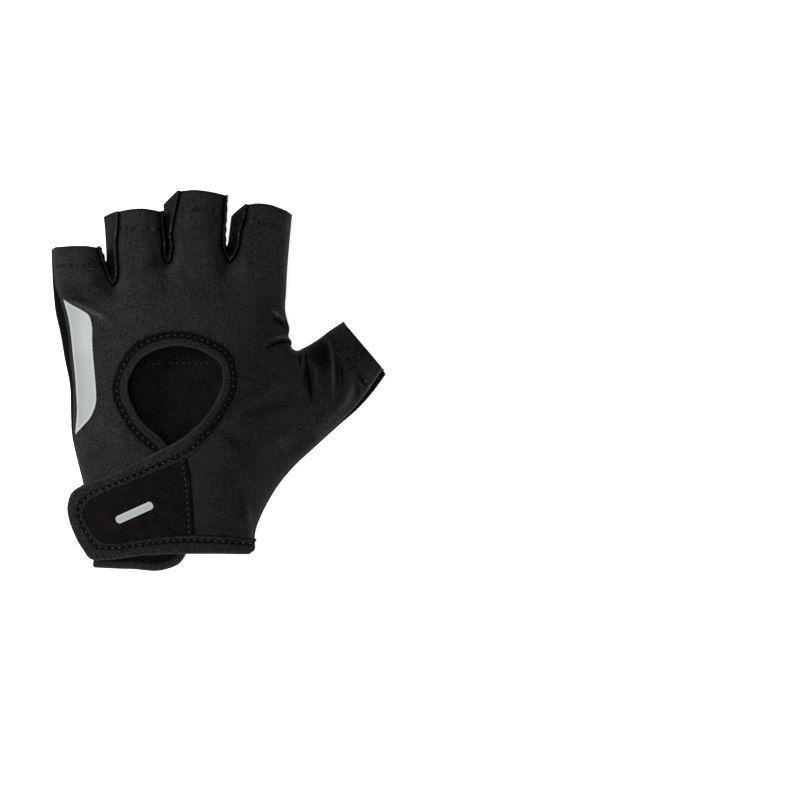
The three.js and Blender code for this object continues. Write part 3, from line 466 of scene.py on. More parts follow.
def palm_height(x, y):
    """The palm as a flattened arch over its two sides."""
    step = (y - PALM_ROWS_FROM) / PALM_ROWS_STEP
    first = max(0, min(PALM_ROWS_COUNT - 2, int(step)))
    share = clamped(step - first)
    below, above = PALM_ROWS[first], PALM_ROWS[first + 1]
    left, right, crown = (a + (b - a) * share for a, b in zip(below, above))
    across = abs((2 * x - left - right) / (right - left))
    return crown * max(0, 1 - across ** PALM_SQUARENESS[0]) ** (1 / PALM_SQUARENESS[1])


for fold in FOLDS:
    reach = FOLD_REACH * max(max(row[2], row[3]) for row in fold["rows"])
    xs = [row[0] for row in fold["rows"]]
    ys = [row[1] for row in fold["rows"]]
    fold["part"] = (min(xs) - reach, max(xs) + reach, min(ys) - reach, max(ys) + reach)
    fold["peak"] = max(abs(row[4]) for row in fold["rows"])


def fold_height(rows, x, y):
    """A rounded ridge or valley along the fold's line, as steep on either side as its rows say."""
    nearest = None
    for row, ahead in zip(rows, rows[1:]):
        run_x, run_y = ahead[0] - row[0], ahead[1] - row[1]
        share = clamped(((x - row[0]) * run_x + (y - row[1]) * run_y) / (run_x ** 2 + run_y ** 2))
        off_x, off_y = x - row[0] - share * run_x, y - row[1] - share * run_y
        away = math.hypot(off_x, off_y)
        if nearest is None or away < nearest:
            nearest = away
            side = 2 if run_x * off_y - run_y * off_x > 0 else 3
            width = row[side] + (ahead[side] - row[side]) * share
            height = row[4] + (ahead[4] - row[4]) * share
    return height * math.exp(-((nearest / width) ** 2))


def folds_at(x, y):
    """The folds that reach a place, each with its height there."""
    found = []
    for fold in FOLDS:
        left, right, low, high = fold["part"]
        if left < x < right and low < y < high:
            found.append((fold, fold_height(fold["rows"], x, y)))
    return found


def places_on_hems(x, y):
    """For each hem: its noise, its length, and how far along and in from its edge a place lies."""
    for (x0, y0), (x1, y1) in HEMS:
        length = math.hypot(x1 - x0, y1 - y0)
        along = ((x - x0) * (x1 - x0) + (y - y0) * (y1 - y0)) / length
        depth = ((x - x0) * (y1 - y0) - (y - y0) * (x1 - x0)) / length
        yield x0 * 0.1, length, along, depth


def painted_knit_light_shade(x, y):
    """How pale the knit is painted: 1 where it is plain, less for painted shade in a crease and
    along the hems' stitch rows, more for a painted highlight on a fold.
    """
    painted_light_shade = sum(fold["painted_light_shade"] * abs(height) / fold["peak"] for fold, height in folds_at(x, y))
    # Each hem's stitch row is painted darker, as painted shade in its groove
    for seed, length, along, depth in places_on_hems(x, y):
        off_row = depth - HEM_DEPTH + HEM_STITCH_INSET
        if 0 < along < length and abs(off_row) < 2:
            pulled = 0.5 + 2.4 * noise.noise(Vector((along * 0.7, seed, 4.4)))
            painted_light_shade -= pulled * math.exp(-((off_row / 0.7) ** 2))
    return math.exp(min(1.5, painted_light_shade))


def hem_height(x, y):
    """The doubled cloth of a hem, and the groove that its row of stitches pulls in."""
    height = 0
    for seed, length, along, depth in places_on_hems(x, y):
        if -3 < along < length + 3 and -2 < depth < HEM_DEPTH + 3:
            height += HEM_RISE * eased((HEM_DEPTH + HEM_STEP / 2 - depth) / HEM_STEP)
            pull = 0.34 + 0.3 * noise.noise(Vector((along * 0.45, seed, 4.4)))
            height -= pull * math.exp(-(((depth - HEM_DEPTH + HEM_STITCH_INSET) / 0.65) ** 2))
    return height


def hand_height(x, y):
    """Height of the back's outer face above the table."""
    total = palm_height(x, y) ** JOIN_SHARPNESS
    for limb in LIMBS:
        total += limb_height(limb, x, y) ** JOIN_SHARPNESS
    folded = sum(rise for _, rise in folds_at(x, y))
    height = PALM_LEVEL + total ** (1 / JOIN_SHARPNESS) + folded
    for rise, rate, seed in UNEVENNESS:
        height += rise * noise.noise(Vector((x * rate, y * rate, seed)))
    return height + hem_height(x, y)


def strap_rise(x, y):
    """How far the strap stands above the hand."""
    leftwards = eased((RISE_FROM[0] - x) / RISE_OVER[0])
    downwards = eased((RISE_FROM[1] - y) / RISE_OVER[1])
    return STRAP_LIFT * leftwards * downwards


def strap_height(x, y):
    """Height of the strap's side, which rises over the flap and droops at its tip."""
    past = max(0, DROOP_FROM - x)
    return hand_height(x + DROOP * past ** 2 / (past + DROOP_EASING), y) + strap_rise(x, y)


def at(table, y):
    """A table's value at a place, along straight lines between its rows."""
    for (y0, value0), (y1, value1) in zip(table, table[1:]):
        if y <= y1:
            return value0 + (value1 - value0) * clamped((y - y0) / (y1 - y0))
    return table[-1][1]


PARTING = [
    (-84, -12), (-62, -12.2), (-48, -13.8), (-41, -14.8), (-36, -16.2), (-32.8, -17.2),
    (-27, -19.5), (-18, -24),
]


def back_height(x, y):
    """The flap lies on the hand, and what is right of the parting line rises towards the strap."""
    if x > at(PARTING, y):
        return hand_height(x, y) + strap_rise(x, y)
    return hand_height(x, y)


def smooth_line(rows, step):
    """Rows at an even step on a smooth line through a table that starts with a place's columns."""
    runs = [math.hypot(b[0] - a[0], b[1] - a[1]) for a, b in zip(rows, rows[1:])]

    def rate(column, i):
        return (rows[i + 1][column] - rows[i][column]) / runs[i]

    def slope(column, i):
        if i in (0, len(rows) - 1):
            return rate(column, min(i, len(runs) - 1))
        before, after = runs[i - 1], runs[i]
        return (rate(column, i - 1) * after + rate(column, i) * before) / (before + after)

    made = [tuple(rows[0])]
    for i, run in enumerate(runs):
        count = math.ceil(run / step)
        for k in range(1, count + 1):
            t = k / count
            made.append(tuple(
                rows[i][c] * (1 + 2 * t) * (1 - t) ** 2 + rows[i + 1][c] * t ** 2 * (3 - 2 * t)
                + run * t * (1 - t) * (slope(c, i) * (1 - t) - slope(c, i + 1) * t)
                for c in range(len(rows[0]))))
    return made


def side_rows(table, first_lean, last_lean, step=1.0):
    """Rows of a side wall: the back's edge, the way out from it, and how far out the wall and its
    seam are. At its two ends the edge leans along it, to meet the finger's or the wrist's end."""
    line = smooth_line(table, step)
    outs = []
    for i in range(len(line)):
        before = line[max(0, i - 3)]
        after = line[min(len(line) - 1, i + 3)]
        along = Vector((after[0] - before[0], after[1] - before[1])).normalized()
        outs.append(Vector((-along.y, along.x)))
    rows = []
    for i, row in enumerate(line):
        out = sum(outs[max(0, i - 2):i + 3], Vector((0, 0))).normalized()
        depth = max(LEAST_WALL, row[2] + SEAM_MARGIN)
        lean = last_lean * max(0, 1 - (len(line) - 1 - i) / LEAN_ROWS)
        lean -= first_lean * max(0, 1 - i / LEAN_ROWS)
        edge = Vector(row[:2]) - out * depth + Vector((out.y, -out.x)) * lean
        rows.append({
            "out": (Vector(row[:2]) - edge) / depth,
            "edge": edge,
            "depth": depth,
            "seam": row[2],
            "stretch": row[3] if len(row) > 3 else 1,
        })
    return rows


def bezier(points, t):
    """A place on the curve that four points steer."""
    a, b, c, d = points
    return a * (1 - t) ** 3 + b * 3 * t * (1 - t) ** 2 + c * 3 * t * t * (1 - t) + d * t ** 3


def wall_section(row):
    """Two curves of (distance out, height): over to the silhouette, and from there to the palm."""
    edge, out, depth = row["edge"], row["out"], row["depth"]
    top = back_height(*edge)
    slope = max(STEEPEST_SHOULDER, min(0, top - back_height(*(edge - out))))
    side = PALM_LEVEL + SIDE_HEIGHT * (top - PALM_LEVEL)
    over = [
        Vector((0, top)),
        Vector((SHOULDER * depth, top + SHOULDER * depth * slope)),
        Vector((depth, side + FULLNESS * (top - side))),
        Vector((depth, side)),
    ]
    under = [
        Vector((depth, side)),
        Vector((depth, PALM_LEVEL + FULLNESS * (side - PALM_LEVEL))),
        Vector((depth - PALM_BEND, PALM_LEVEL)),
        Vector((depth - PALM_TUCK, PALM_LEVEL)),
    ]
    return over, under


def share_at(curve, reach, halvings):
    """How far along a curve it has come out as far as a reach, found by halving."""
    low, high = 0.0, 1.0
    for _ in range(halvings):
        middle = (low + high) / 2
        if bezier(curve, middle).x < reach:
            low = middle
        else:
            high = middle
    return high


def seam_share(row, over):
    """How far along the first curve the seam lies."""
    return share_at(over, row["depth"] - row["seam"], 20)


def rolled(curve, share, back):
    """Points that turn a cloth's edge in at a seam, from the face down into the groove."""
    here = bezier(curve, share)
    along = (bezier(curve, min(1, share + 0.02)) - bezier(curve, max(0, share - 0.02))).normalized()
    inward = Vector((along.y, -along.x))
    side = -1 if back else 1
    points = [here + along * side * away + inward * depth for away, depth in TURN_IN]
    return points if back else points[::-1]


def short_of(curve, share, end, gap):
    """The share at which a curve, on its way from share to end, is a gap away from its start."""
    start = bezier(curve, share)
    steps = 40
    for k in range(1, steps + 1):
        here = share + (end - share) * k / steps
        if (bezier(curve, here) - start).length > gap:
            return here
    return end


def wall_points(row, part):
    """Points down a side wall: the whole, the back's part above its seam, or the palm's below."""
    over, under = wall_section(row)
    below = [bezier(under, k / CURVE_STEPS) for k in range(1, CURVE_STEPS + 1)]
    if part == "whole":
        return [bezier(over, k / CURVE_STEPS) for k in range(CURVE_STEPS + 1)] + below
    share = seam_share(row, over)
    if part == "back":
        last = short_of(over, share, 0, TURN_GAP)
        face = [bezier(over, last * k / FACE_STEPS) for k in range(FACE_STEPS + 1)]
        return face + rolled(over, share, True)
    first = short_of(over, share, 1, TURN_GAP)
    face = [bezier(over, first + (1 - first) * k / FACE_STEPS) for k in range(FACE_STEPS + 1)]
    return rolled(over, share, False) + face + below


def new_cloth():
    """An empty mesh in millimetres. Each point remembers its place on the flat cloth and its kind:
    the knit's painted light and shade, which suede is on the side, which face the tape has, or how
    far in from its edge the film is."""
    cloth = bmesh.new()
    cloth.verts.layers.float_vector.new("cloth")
    return cloth


def add_point(cloth, place, flat, kind=0.0):
    point = cloth.verts.new(place)
    point[cloth.verts.layers.float_vector["cloth"]] = Vector((flat[0], flat[1], kind))
    return point


def add_grid(cloth, rows):
    """Faces between rows of points."""
    for first, second in zip(rows, rows[1:]):
        for k in range(len(first) - 1):
            cloth.faces.new((first[k], second[k], second[k + 1], first[k + 1]))


def wall_painted_light_shades(row, part, count):
    """How pale a side wall's points are painted: painted highlight or shade towards the silhouette,
    and painted shade in the turned-in edge. The palm's only say that they are on its side.
    """
    if part == "palm":
        return [1.0] * count
    face = [1 + (row["stretch"] - 1) * (k / FACE_STEPS) ** 2 for k in range(FACE_STEPS + 1)]
    if part == "whole":
        return face + [face[-1]] * (count - len(face))
    return face + [face[-1], TURNED_EDGE_PAINTED_SHADE, TURNED_EDGE_PAINTED_SHADE]


def add_wall(cloth, rows, part):
    """A side wall, or one cloth's part of it. The palm's is trimmed to slope back at the wrist."""
    grid = []
    wrist_y = min(row["edge"].y for row in rows)
    for row in rows:
        run = 0
        line = []
        before = None
        points = wall_points(row, part)
        for point, kind in zip(points, wall_painted_light_shades(row, part, len(points)), strict=True):
            if before is not None:
                run += (point - before).length
            before = point
            place = row["edge"] + row["out"] * point.x
            flat = row["edge"] + row["out"] * run
            if part == "palm":
                near_wrist = eased(1 - (place.y - wrist_y) / WRIST_REACH)
                sloped = max(0, WRIST_SLOPE * (point.y - PALM_LEVEL) - WRIST_COVER)
                place.y += near_wrist * sloped
            else:
                # The knit's painted light and shade at this place
                kind *= painted_knit_light_shade(*place)
            line.append(add_point(cloth, (place.x, place.y, point.y), flat, kind))
        grid.append(line)
    add_grid(cloth, grid)


def inset_line(outline, distance):
    """A closed clockwise outline moved inwards."""
    moved = []
    for i, (x, y) in enumerate(outline):
        before = outline[i - 1]
        after = outline[(i + 1) % len(outline)]
        along = Vector((after[0] - before[0], after[1] - before[1])).normalized()
        moved.append((x + along.y * distance, y - along.x * distance))
    return moved


# How near the edge the panel's inner points come, for their spacing
EDGE_GAP = 0.62


def filled(outline, coarse, fine):
    """Points and triangles that fill a closed outline, finer where the cloth is folded."""
    edges = [(i, (i + 1) % len(outline)) for i in range(len(outline))]
    near = kdtree.KDTree(len(outline) * 2)
    for i, j in edges:
        a, b = Vector(outline[i]), Vector(outline[j])
        near.insert((*a, 0), i)
        near.insert((*((a + b) / 2), 0), i)
    near.balance()
    points = [Vector(point) for point in outline]
    low = min(point[1] for point in outline)
    high = max(point[1] for point in outline)
    for spacing in (coarse, fine) if fine else (coarse,):
        rise = spacing * math.sqrt(3) / 2
        for row in range(1, int((high - low) / rise) + 1):
            y = low + row * rise
            crossings = []
            for i, j in edges:
                (x0, y0), (x1, y1) = outline[i], outline[j]
                if (y0 <= y) != (y1 <= y):
                    crossings.append(x0 + (x1 - x0) * (y - y0) / (y1 - y0))
            crossings.sort()
            for start, end in zip(crossings[::2], crossings[1::2]):
                k = math.ceil(start / spacing - 0.5 * (row % 2))
                x = (k + 0.5 * (row % 2)) * spacing
                while x < end:
                    folded = FINE_PART[0] < x < FINE_PART[1] and FINE_PART[2] < y < FINE_PART[3]
                    wanted = folded == (spacing == fine) if fine else True
                    if wanted and near.find((x, y, 0))[2] > EDGE_GAP * spacing:
                        points.append(Vector((x, y)))
                    x += spacing
    made = geometry.delaunay_2d_cdt(points, edges, [], 1, 1e-5)
    return made[0], made[2]


def add_panel(cloth, outline, height, spacing, roll=0.3, face=1, level=(), fine=None, painted_light_shade=None):
    """A panel cut to an outline in plan, facing up or down. Its edge is rounded off, but for the
    level points, where another part of the same cloth goes on from it."""
    rolls = [0 if point in level else roll * face for point in outline]
    inner = inset_line(outline, RIM)
    places, triangles = filled(inner, spacing, fine)
    # Each point's painted light and shade, with painted shade just inside a rolled rim
    painted_light_shades = [painted_light_shade(x, y) if painted_light_shade else 0.0 for x, y in places]
    for i, drop in enumerate(rolls):
        painted_light_shades[i] *= RIM_PAINTED_SHADE if drop else 1
    points = []
    for (x, y), kind in zip(places, painted_light_shades):
        points.append(add_point(cloth, (x, y, height(x, y)), (x, y), kind))
    for triangle in triangles:
        a, b, c = (places[i] for i in triangle)
        upwards = (b - a).cross(c - b) > 0
        corners = [points[i] for i in triangle]
        cloth.faces.new(corners if upwards == (face > 0) else corners[::-1])
    outer_ring = []
    # The rolled edge itself is painted dark, as shade in its turn
    for (x, y), drop in zip(outline, rolls):
        kind = (TURNED_EDGE_PAINTED_SHADE if drop else 1.0) if painted_light_shade else 0.0
        outer_ring.append(add_point(cloth, (x, y, height(x, y) - drop), (x, y), kind))
    inner_ring = points[:len(inner)]
    for i in range(len(outline)):
        j = (i + 1) % len(outline)
        corners = (outer_ring[i], inner_ring[i], inner_ring[j], outer_ring[j])
        cloth.faces.new(corners if face > 0 else corners[::-1])


# Points this near each other, in millimetres, are one
MERGED = 0.02


def cloth_piece(name, cloth, thickness, finish, smooth=55, lining=None):
    """The finished piece: seams closed, its wall given its thickness, and shaded smoothly."""
    bmesh.ops.remove_doubles(cloth, verts=cloth.verts, dist=MERGED)
    bmesh.ops.scale(cloth, vec=(MM, MM, MM), verts=cloth.verts)
    mesh = bpy.data.meshes.new(name)
    cloth.to_mesh(mesh)
    cloth.free()
    piece = bpy.data.objects.new(name, mesh)
    bpy.context.scene.collection.objects.link(piece)
    bpy.ops.object.select_all(action="DESELECT")
    piece.select_set(True)
    bpy.context.view_layer.objects.active = piece
    piece.data.materials.append(finish.material)
    if lining:
        piece.data.materials.append(lining.material)
    if thickness:
        wall = piece.modifiers.new("wall", "SOLIDIFY")
        wall.thickness = thickness * MM
        wall.offset = -1
        wall.material_offset = 1 if lining else 0
        bpy.ops.object.modifier_apply(modifier=wall.name)
    bpy.ops.object.shade_smooth_by_angle(angle=math.radians(smooth))
    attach(piece, "root")
    return piece


class Value:
    """A number or vector that changes over a surface, as the socket that carries it."""

    def __init__(self, finish, socket):
        self.finish = finish
        self.socket = socket

    def maths(self, operation, first, second):
        return self.finish.node("ShaderNodeMath", {"operation": operation}, {0: first, 1: second})

    def __add__(self, other):
        return self.maths("ADD", self, other)

    __radd__ = __add__

    def __sub__(self, other):
        return self.maths("SUBTRACT", self, other)

    def __rsub__(self, other):
        return self.maths("SUBTRACT", other, self)

    def __mul__(self, other):
        return self.maths("MULTIPLY", self, other)

    __rmul__ = __mul__


class Finish:
    """A material whose constants are set on its shader and whose patterns are nodes."""

    def __init__(self, name, constants):
        self.material = bpy.data.materials.new(name)
        self.material.use_nodes = True
        self.tree = self.material.node_tree
        self.surface = self.tree.nodes["Principled BSDF"]
        for socket, value in constants.items():
            self.surface.inputs[socket].default_value = value

    def node(self, kind, settings, sockets, output=0):
        """A node with its settings, then its sockets' values or links, as one of its outputs."""
        made = self.tree.nodes.new(kind)
        for name, setting in settings.items():
            setattr(made, name, setting)
        for socket, value in sockets.items():
            if isinstance(value, Value):
                self.tree.links.new(value.socket, made.inputs[socket])
            else:
                made.inputs[socket].default_value = value
        return Value(self, made.outputs[output])

    def part(self, vector, axis):
        return self.node("ShaderNodeSeparateXYZ", {}, {0: vector}, axis)

    def attribute(self, name):
        return self.node("ShaderNodeAttribute", {"attribute_name": name}, {}, "Vector")

    def wave(self, value, pitch):
        """A wave from 0 to 1 along a value."""
        turn = value * (2 * math.pi / pitch)
        return self.node("ShaderNodeMath", {"operation": "SINE"}, {0: turn}) * 0.5 + 0.5

    def cloud(self, vector, scale, detail):
        """Soft uneven patches, with so many to a millimetre."""
        sockets = {"Vector": vector, "Scale": scale, "Detail": detail}
        return self.node("ShaderNodeTexNoise", {}, sockets, "Fac")

    def spread(self, value, low, high):
        """A value stretched so that low becomes 0 and high becomes 1, and held there."""
        return self.node("ShaderNodeMapRange", {"interpolation_type": "SMOOTHSTEP"},
                         {"Value": value, "From Min": low, "From Max": high})

    def colour(self, factor, first, second):
        """A mix of two colours. The node has their sockets at 6 and 7, and the mixed one at 2."""
        sockets = {0: factor, 6: first, 7: second}
        return self.node("ShaderNodeMix", {"data_type": "RGBA"}, sockets, 2)

    def paint(self, socket, value):
        self.tree.links.new(value.socket, self.surface.inputs[socket])

    def relief(self, height, strength, distance):
        """Small relief of a height from 0 to 1, with its distance in millimetres."""
        sockets = {"Strength": strength, "Distance": distance * MM, "Height": height}
        self.paint("Normal", self.node("ShaderNodeBump", {}, sockets))


NEUTRAL = (1, 1, 1)
OLIVE = (0.99, 1.01, 0.92)
# The knit's loops, and the mottle and the broad patches that all the dark cloths have
LOOP_WIDTH = 0.6
LOOP_HEIGHT = 0.7
MOTTLE = 2.3
PATCHES = 0.12


def grey(level, tint=NEUTRAL):
    return (level * tint[0], level * tint[1], level * tint[2], 1)


def knit_finish(name, dark, light, tint, sheen):
    """Fine stretch knit: columns of loops about 0.6 mm apart, and the mottle of its yarn, whose
    colour is scaled by painted light and shade.
    """
    finish = Finish(name, {
        "Roughness": 0.75, "Specular IOR Level": 0.05,
        "Sheen Weight": sheen, "Sheen Roughness": 0.5, "Sheen Tint": (0.95, 0.97, 0.9, 1),
    })
    place = finish.attribute("cloth")
    across = finish.part(place, "X")
    along = finish.part(place, "Y")
    loops = finish.wave(across + finish.wave(along, LOOP_HEIGHT) * 0.18, LOOP_WIDTH)
    ribs = finish.wave(along + finish.wave(across, LOOP_WIDTH) * 0.16, LOOP_HEIGHT)
    mottle = finish.cloud(place, MOTTLE, 2)
    patches = finish.cloud(place, PATCHES, 2)
    weave = loops * 0.5 + ribs * 0.25 + mottle * 0.8
    shade = finish.spread(mottle * 0.76 + patches * 0.12 + loops * 0.12, 0.415, 0.585)
    yarn = finish.colour(shade, grey(dark, tint), grey(light, tint))
    # Painted light and shade: the point's value scales the yarn's colour
    painted_light_shade = finish.part(place, "Z")
    sockets = {0: yarn, "Scale": painted_light_shade}
    painted_yarn = finish.node("ShaderNodeVectorMath", {"operation": "SCALE"}, sockets)
    finish.paint("Base Color", painted_yarn)
    finish.relief(weave, 0.5, 0.3)
    return finish


back_knit = knit_finish("charcoal_knit", dark=0.006, light=0.031, tint=OLIVE, sheen=0.02)

# The points along every cut edge are this far apart
EDGE_STEP = 0.9
pinky_side = side_rows(PINKY_SIDE, first_lean=0, last_lean=1.0)
index_side = side_rows(INDEX_SIDE, first_lean=1.2, last_lean=0, step=0.6)
thumb_side = side_rows(THUMB_SIDE, first_lean=1.6, last_lean=0, step=0.7)
keyhole_rows = smooth_line(KEYHOLE_TAPE, EDGE_STEP)
strap_rows = smooth_line(STRAP_TAPE, EDGE_STEP)


def across_tape(row, share):
    """A place across the tape, from its folded edge at 0 to its sewn edge at 1."""
    return (row[0] + (row[2] - row[0]) * share, row[1] + (row[3] - row[1]) * share)


keyhole_raw = [across_tape(row, RAW_SHARE) for row in keyhole_rows]
strap_raw = [across_tape(row, RAW_SHARE) for row in strap_rows]
# The back ends along the strap's upper and lower edges, right of the patch's seam
STRAP_TIP_ROW = 60
TOP_FROM = -14
LOW_FROM = -9.4
LOW_TO = 11
strap_top = [point for point in strap_raw[:STRAP_TIP_ROW] if point[0] > TOP_FROM]
strap_low = [point for point in strap_raw[STRAP_TIP_ROW:] if LOW_FROM < point[0] < LOW_TO]
slot_lines = {name: smooth_line(rows, EDGE_STEP) for name, rows in SLOTS.items()}


def between(*places):
    """Points on a smooth line through places, without its two ends."""
    return smooth_line(places, EDGE_STEP)[1:-1]


pinky_edge, index_edge, thumb_edge = (
    [tuple(row["edge"]) for row in side] for side in (pinky_side, index_side, thumb_side))
back_outline = list(pinky_edge)
for end, slot in zip(FINGER_ENDS, slot_lines.values()):
    back_outline += between(back_outline[-1], *end, slot[0][:2])
    back_outline += [row[:2] for row in slot]
back_outline += between(back_outline[-1], *FINGER_ENDS[3], index_edge[0])
back_outline += index_edge
back_outline += between(back_outline[-1], thumb_edge[0])
back_outline += thumb_edge
back_outline += strap_low[::-1]
back_outline += smooth_line(STRAP_SEAM[::-1], EDGE_STEP)
back_outline += strap_top[::-1]
back_outline += keyhole_raw[:1:-1]

back_cloth = new_cloth()
add_panel(back_cloth, back_outline, back_height, BACK_SPACING, fine=FINE_SPACING, painted_light_shade=painted_knit_light_shade,
          level={*pinky_edge, *index_edge, *thumb_edge})
add_wall(back_cloth, pinky_side, "back")
add_wall(back_cloth, index_side, "whole")
add_wall(back_cloth, thumb_side, "back")
back_panel = cloth_piece("back_panel_cloth", back_cloth, BACK_THICKNESS, back_knit)
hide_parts("back_panel")

# A stitch as (share of its length, lift, thickness), the last two for its thread's radius
STITCH_SHAPE = [(0, -0.9, 0.6), (0.15, 0.1, 1), (0.5, 0.6, 1), (0.85, 0.1, 1), (1, -0.9, 0.6)]
THREAD_SIDES = 6


def add_thread(cloth, start, end, up, radius):
    """One stitch of sewing thread, which dips into the cloth at both ends."""
    along = (end - start).normalized()
    side = along.cross(up).normalized()
    rings = []
    for share, lift, size in STITCH_SHAPE:
        middle = start.lerp(end, share) + up * (lift * radius)
        ring = []
        for k in range(THREAD_SIDES):
            turn = math.tau * k / THREAD_SIDES
            place = middle + (side * math.cos(turn) + up * math.sin(turn)) * (radius * size)
            ring.append(add_point(cloth, place, (share, k / THREAD_SIDES)))
        rings.append(ring + ring[:1])
    add_grid(cloth, rings)


def straight_out(height, x, y, reach):
    """The way straight out of a cloth of the given height, measured over a reach to each side."""
    lean_x = height(x - reach, y) - height(x + reach, y)
    lean_y = height(x, y - reach) - height(x, y + reach)
    return Vector((lean_x, lean_y, 2 * reach)).normalized()


def add_stitches(cloth, line, height, pitch, length, radius, lift, uneven):
    """A row of stitches along a line in plan, on cloth of the given height. Uneven ones sink in."""
    run = 0
    due = 0.5 * pitch
    for (x0, y0), (x1, y1) in zip(line, line[1:]):
        step = math.hypot(x1 - x0, y1 - y0)
        while run + step > due:
            share = (due - run) / step
            x = x0 + (x1 - x0) * share
            y = y0 + (y1 - y0) * share
            along = Vector((x1 - x0, y1 - y0)).normalized() * (length / 2)
            up = straight_out(height, x, y, 0.5)
            raised = up * (lift + uneven * radius * noise.noise(Vector((x * 0.7, y * 0.7, 8.3))))
            ends = []
            for end_x, end_y in ((x - along.x, y - along.y), (x + along.x, y + along.y)):
                ends.append(Vector((end_x, end_y, height(end_x, end_y))) + raised)
            add_thread(cloth, *ends, up, radius)
            due += pitch
        run += step


def thread_finish(name, level):
    """Twisted black sewing thread."""
    finish = Finish(name, {"Roughness": 0.6, "Specular IOR Level": 0.2, "Sheen Weight": 0.05})
    place = finish.attribute("cloth")
    twist = finish.wave(finish.part(place, "X") + finish.part(place, "Y") * 0.25, 0.25)
    finish.paint("Base Color", finish.colour(twist, grey(level * 0.6), grey(level)))
    finish.relief(twist, 0.3, 0.05)
    return finish


HEM_STITCH = {"pitch": 2.1, "length": 1, "radius": 0.13, "lift": -0.04, "uneven": 3}
# How far from the two ends of a hem its first and last stitches are
HEM_STITCH_END = 2.2

hem_thread = thread_finish("hem_thread", 0.06)
hem_stitches = new_cloth()
for (x0, y0), (x1, y1) in HEMS:
    along = Vector((x1 - x0, y1 - y0)).normalized()
    shift = Vector((along.y, -along.x)) * (HEM_DEPTH - HEM_STITCH_INSET)
    start = Vector((x0, y0)) + shift + along * HEM_STITCH_END
    end = Vector((x1, y1)) + shift - along * HEM_STITCH_END
    line = [tuple(start.lerp(end, k / 24)) for k in range(25)]
    add_stitches(hem_stitches, line, hand_height, **HEM_STITCH)
hem_rows = cloth_piece("hem_stitches", hem_stitches, 0, hem_thread)

# The palm is black suede cloth. It lies flat under the hand and turns up as a narrow strip on the
# little-finger side and along the thumb's lower side, where it is sewn to the back.
PALM_THICKNESS = 1.4
PALM_SPACING = 2.0
PALM_STEP = 1.2
PALM_LEAST_STEP = 0.35
# Where the palm's edge leaves its two sides at the finger ends, how far in it lies along the index
# finger, and right of which x it follows the web of the thumb
PALM_ENDS = {"pinky_y": 54.8, "index": (26.8, 67.6)}
INDEX_TUCK = 3.8
WEB_X = 31
# How far the edge at the wrist curves in
WRIST_BOW = 3


def palm_underside(x, y):
    """The palm's outer face, which is flat but for a slow unevenness."""
    return PALM_LEVEL + 0.22 * noise.noise(Vector((x * 0.07, y * 0.07, 9.1)))


def suede_finish(name, dark, light, sides=None):
    """Short brushed nap with soft uneven patches. The sides that turn up may be darker."""
    finish = Finish(name, {"Roughness": 0.95, "Specular IOR Level": 0.02})
    place = finish.attribute("cloth")
    nap = finish.cloud(place, MOTTLE, 2)
    patches = finish.cloud(place, PATCHES, 3)
    shade = finish.spread(nap * 0.85 + patches * 0.15, 0.42, 0.6)
    nap_grey = finish.colour(shade, grey(dark, OLIVE), grey(light, OLIVE))
    if sides:
        nap_grey = finish.colour(finish.part(place, "Z"), nap_grey, grey(sides))
    finish.paint("Base Color", nap_grey)
    finish.relief(nap, 0.5, 0.25)
    return finish


def bowed(start, end, share):
    """A place on the palm's edge at the wrist, which curves in between its two sides."""
    x = start[0] + (end[0] - start[0]) * share
    return (x, start[1] + (end[1] - start[1]) * share + WRIST_BOW * math.sin(math.pi * share))


def tucked(side, distance):
    """The line this far in from a side's silhouette."""
    return [tuple(row["edge"] + row["out"] * (row["depth"] - distance)) for row in side]


palm_suede = suede_finish("palm_suede", dark=0.0018, light=0.004)
palm_lining = suede_finish("palm_lining", dark=0.0005, light=0.0165, sides=0.002)

palm_outline = [point for point in tucked(pinky_side, PALM_TUCK) if point[1] < PALM_ENDS["pinky_y"]]
for slot in slot_lines.values():
    palm_outline += smooth_line([palm_outline[-1], slot[0][2:]], PALM_STEP)[1:-1]
    palm_outline += [row[2:] for row in slot]
index_inset = [point for point in tucked(index_side, INDEX_TUCK)
               if point[1] < PALM_ENDS["index"][1] - 1 or point[0] > WEB_X]
thumb_under = tucked(thumb_side, PALM_TUCK)
palm_outline += smooth_line([palm_outline[-1], PALM_ENDS["index"]], PALM_STEP)[1:]
palm_outline += index_inset[:-3]
palm_outline += smooth_line([palm_outline[-1], thumb_under[3]], PALM_STEP)[1:-1]
palm_outline += thumb_under[3:]
palm_outline += [bowed(palm_outline[-1], palm_outline[0], k / 50) for k in range(1, 50)]


def spaced_out(line, least):
    """A line without the points that crowd each other."""
    kept = [line[0]]
    for point in line[1:]:
        if math.hypot(point[0] - kept[-1][0], point[1] - kept[-1][1]) > least:
            kept.append(point)
    return kept


palm_cloth = new_cloth()
palm_outline = spaced_out(palm_outline, PALM_LEAST_STEP)
add_panel(palm_cloth, palm_outline, palm_underside, PALM_SPACING, roll=0, face=-1)
add_wall(palm_cloth, pinky_side, "palm")
add_wall(palm_cloth, thumb_side, "palm")
palm_panel = cloth_piece(
    "palm_panel_suede", palm_cloth, PALM_THICKNESS, palm_suede, lining=palm_lining)
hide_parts("palm_panel")

# Each gusset is a strip of smooth stretch cloth that makes the facing sides of two fingers and runs
# round the crotch between them. Its edge is folded into a small puckered roll beside the seam on
# the back, painted with a highlight on its crest and shade in its groove, and it is sewn to the
# palm below.
GUSSET_THICKNESS = 0.6
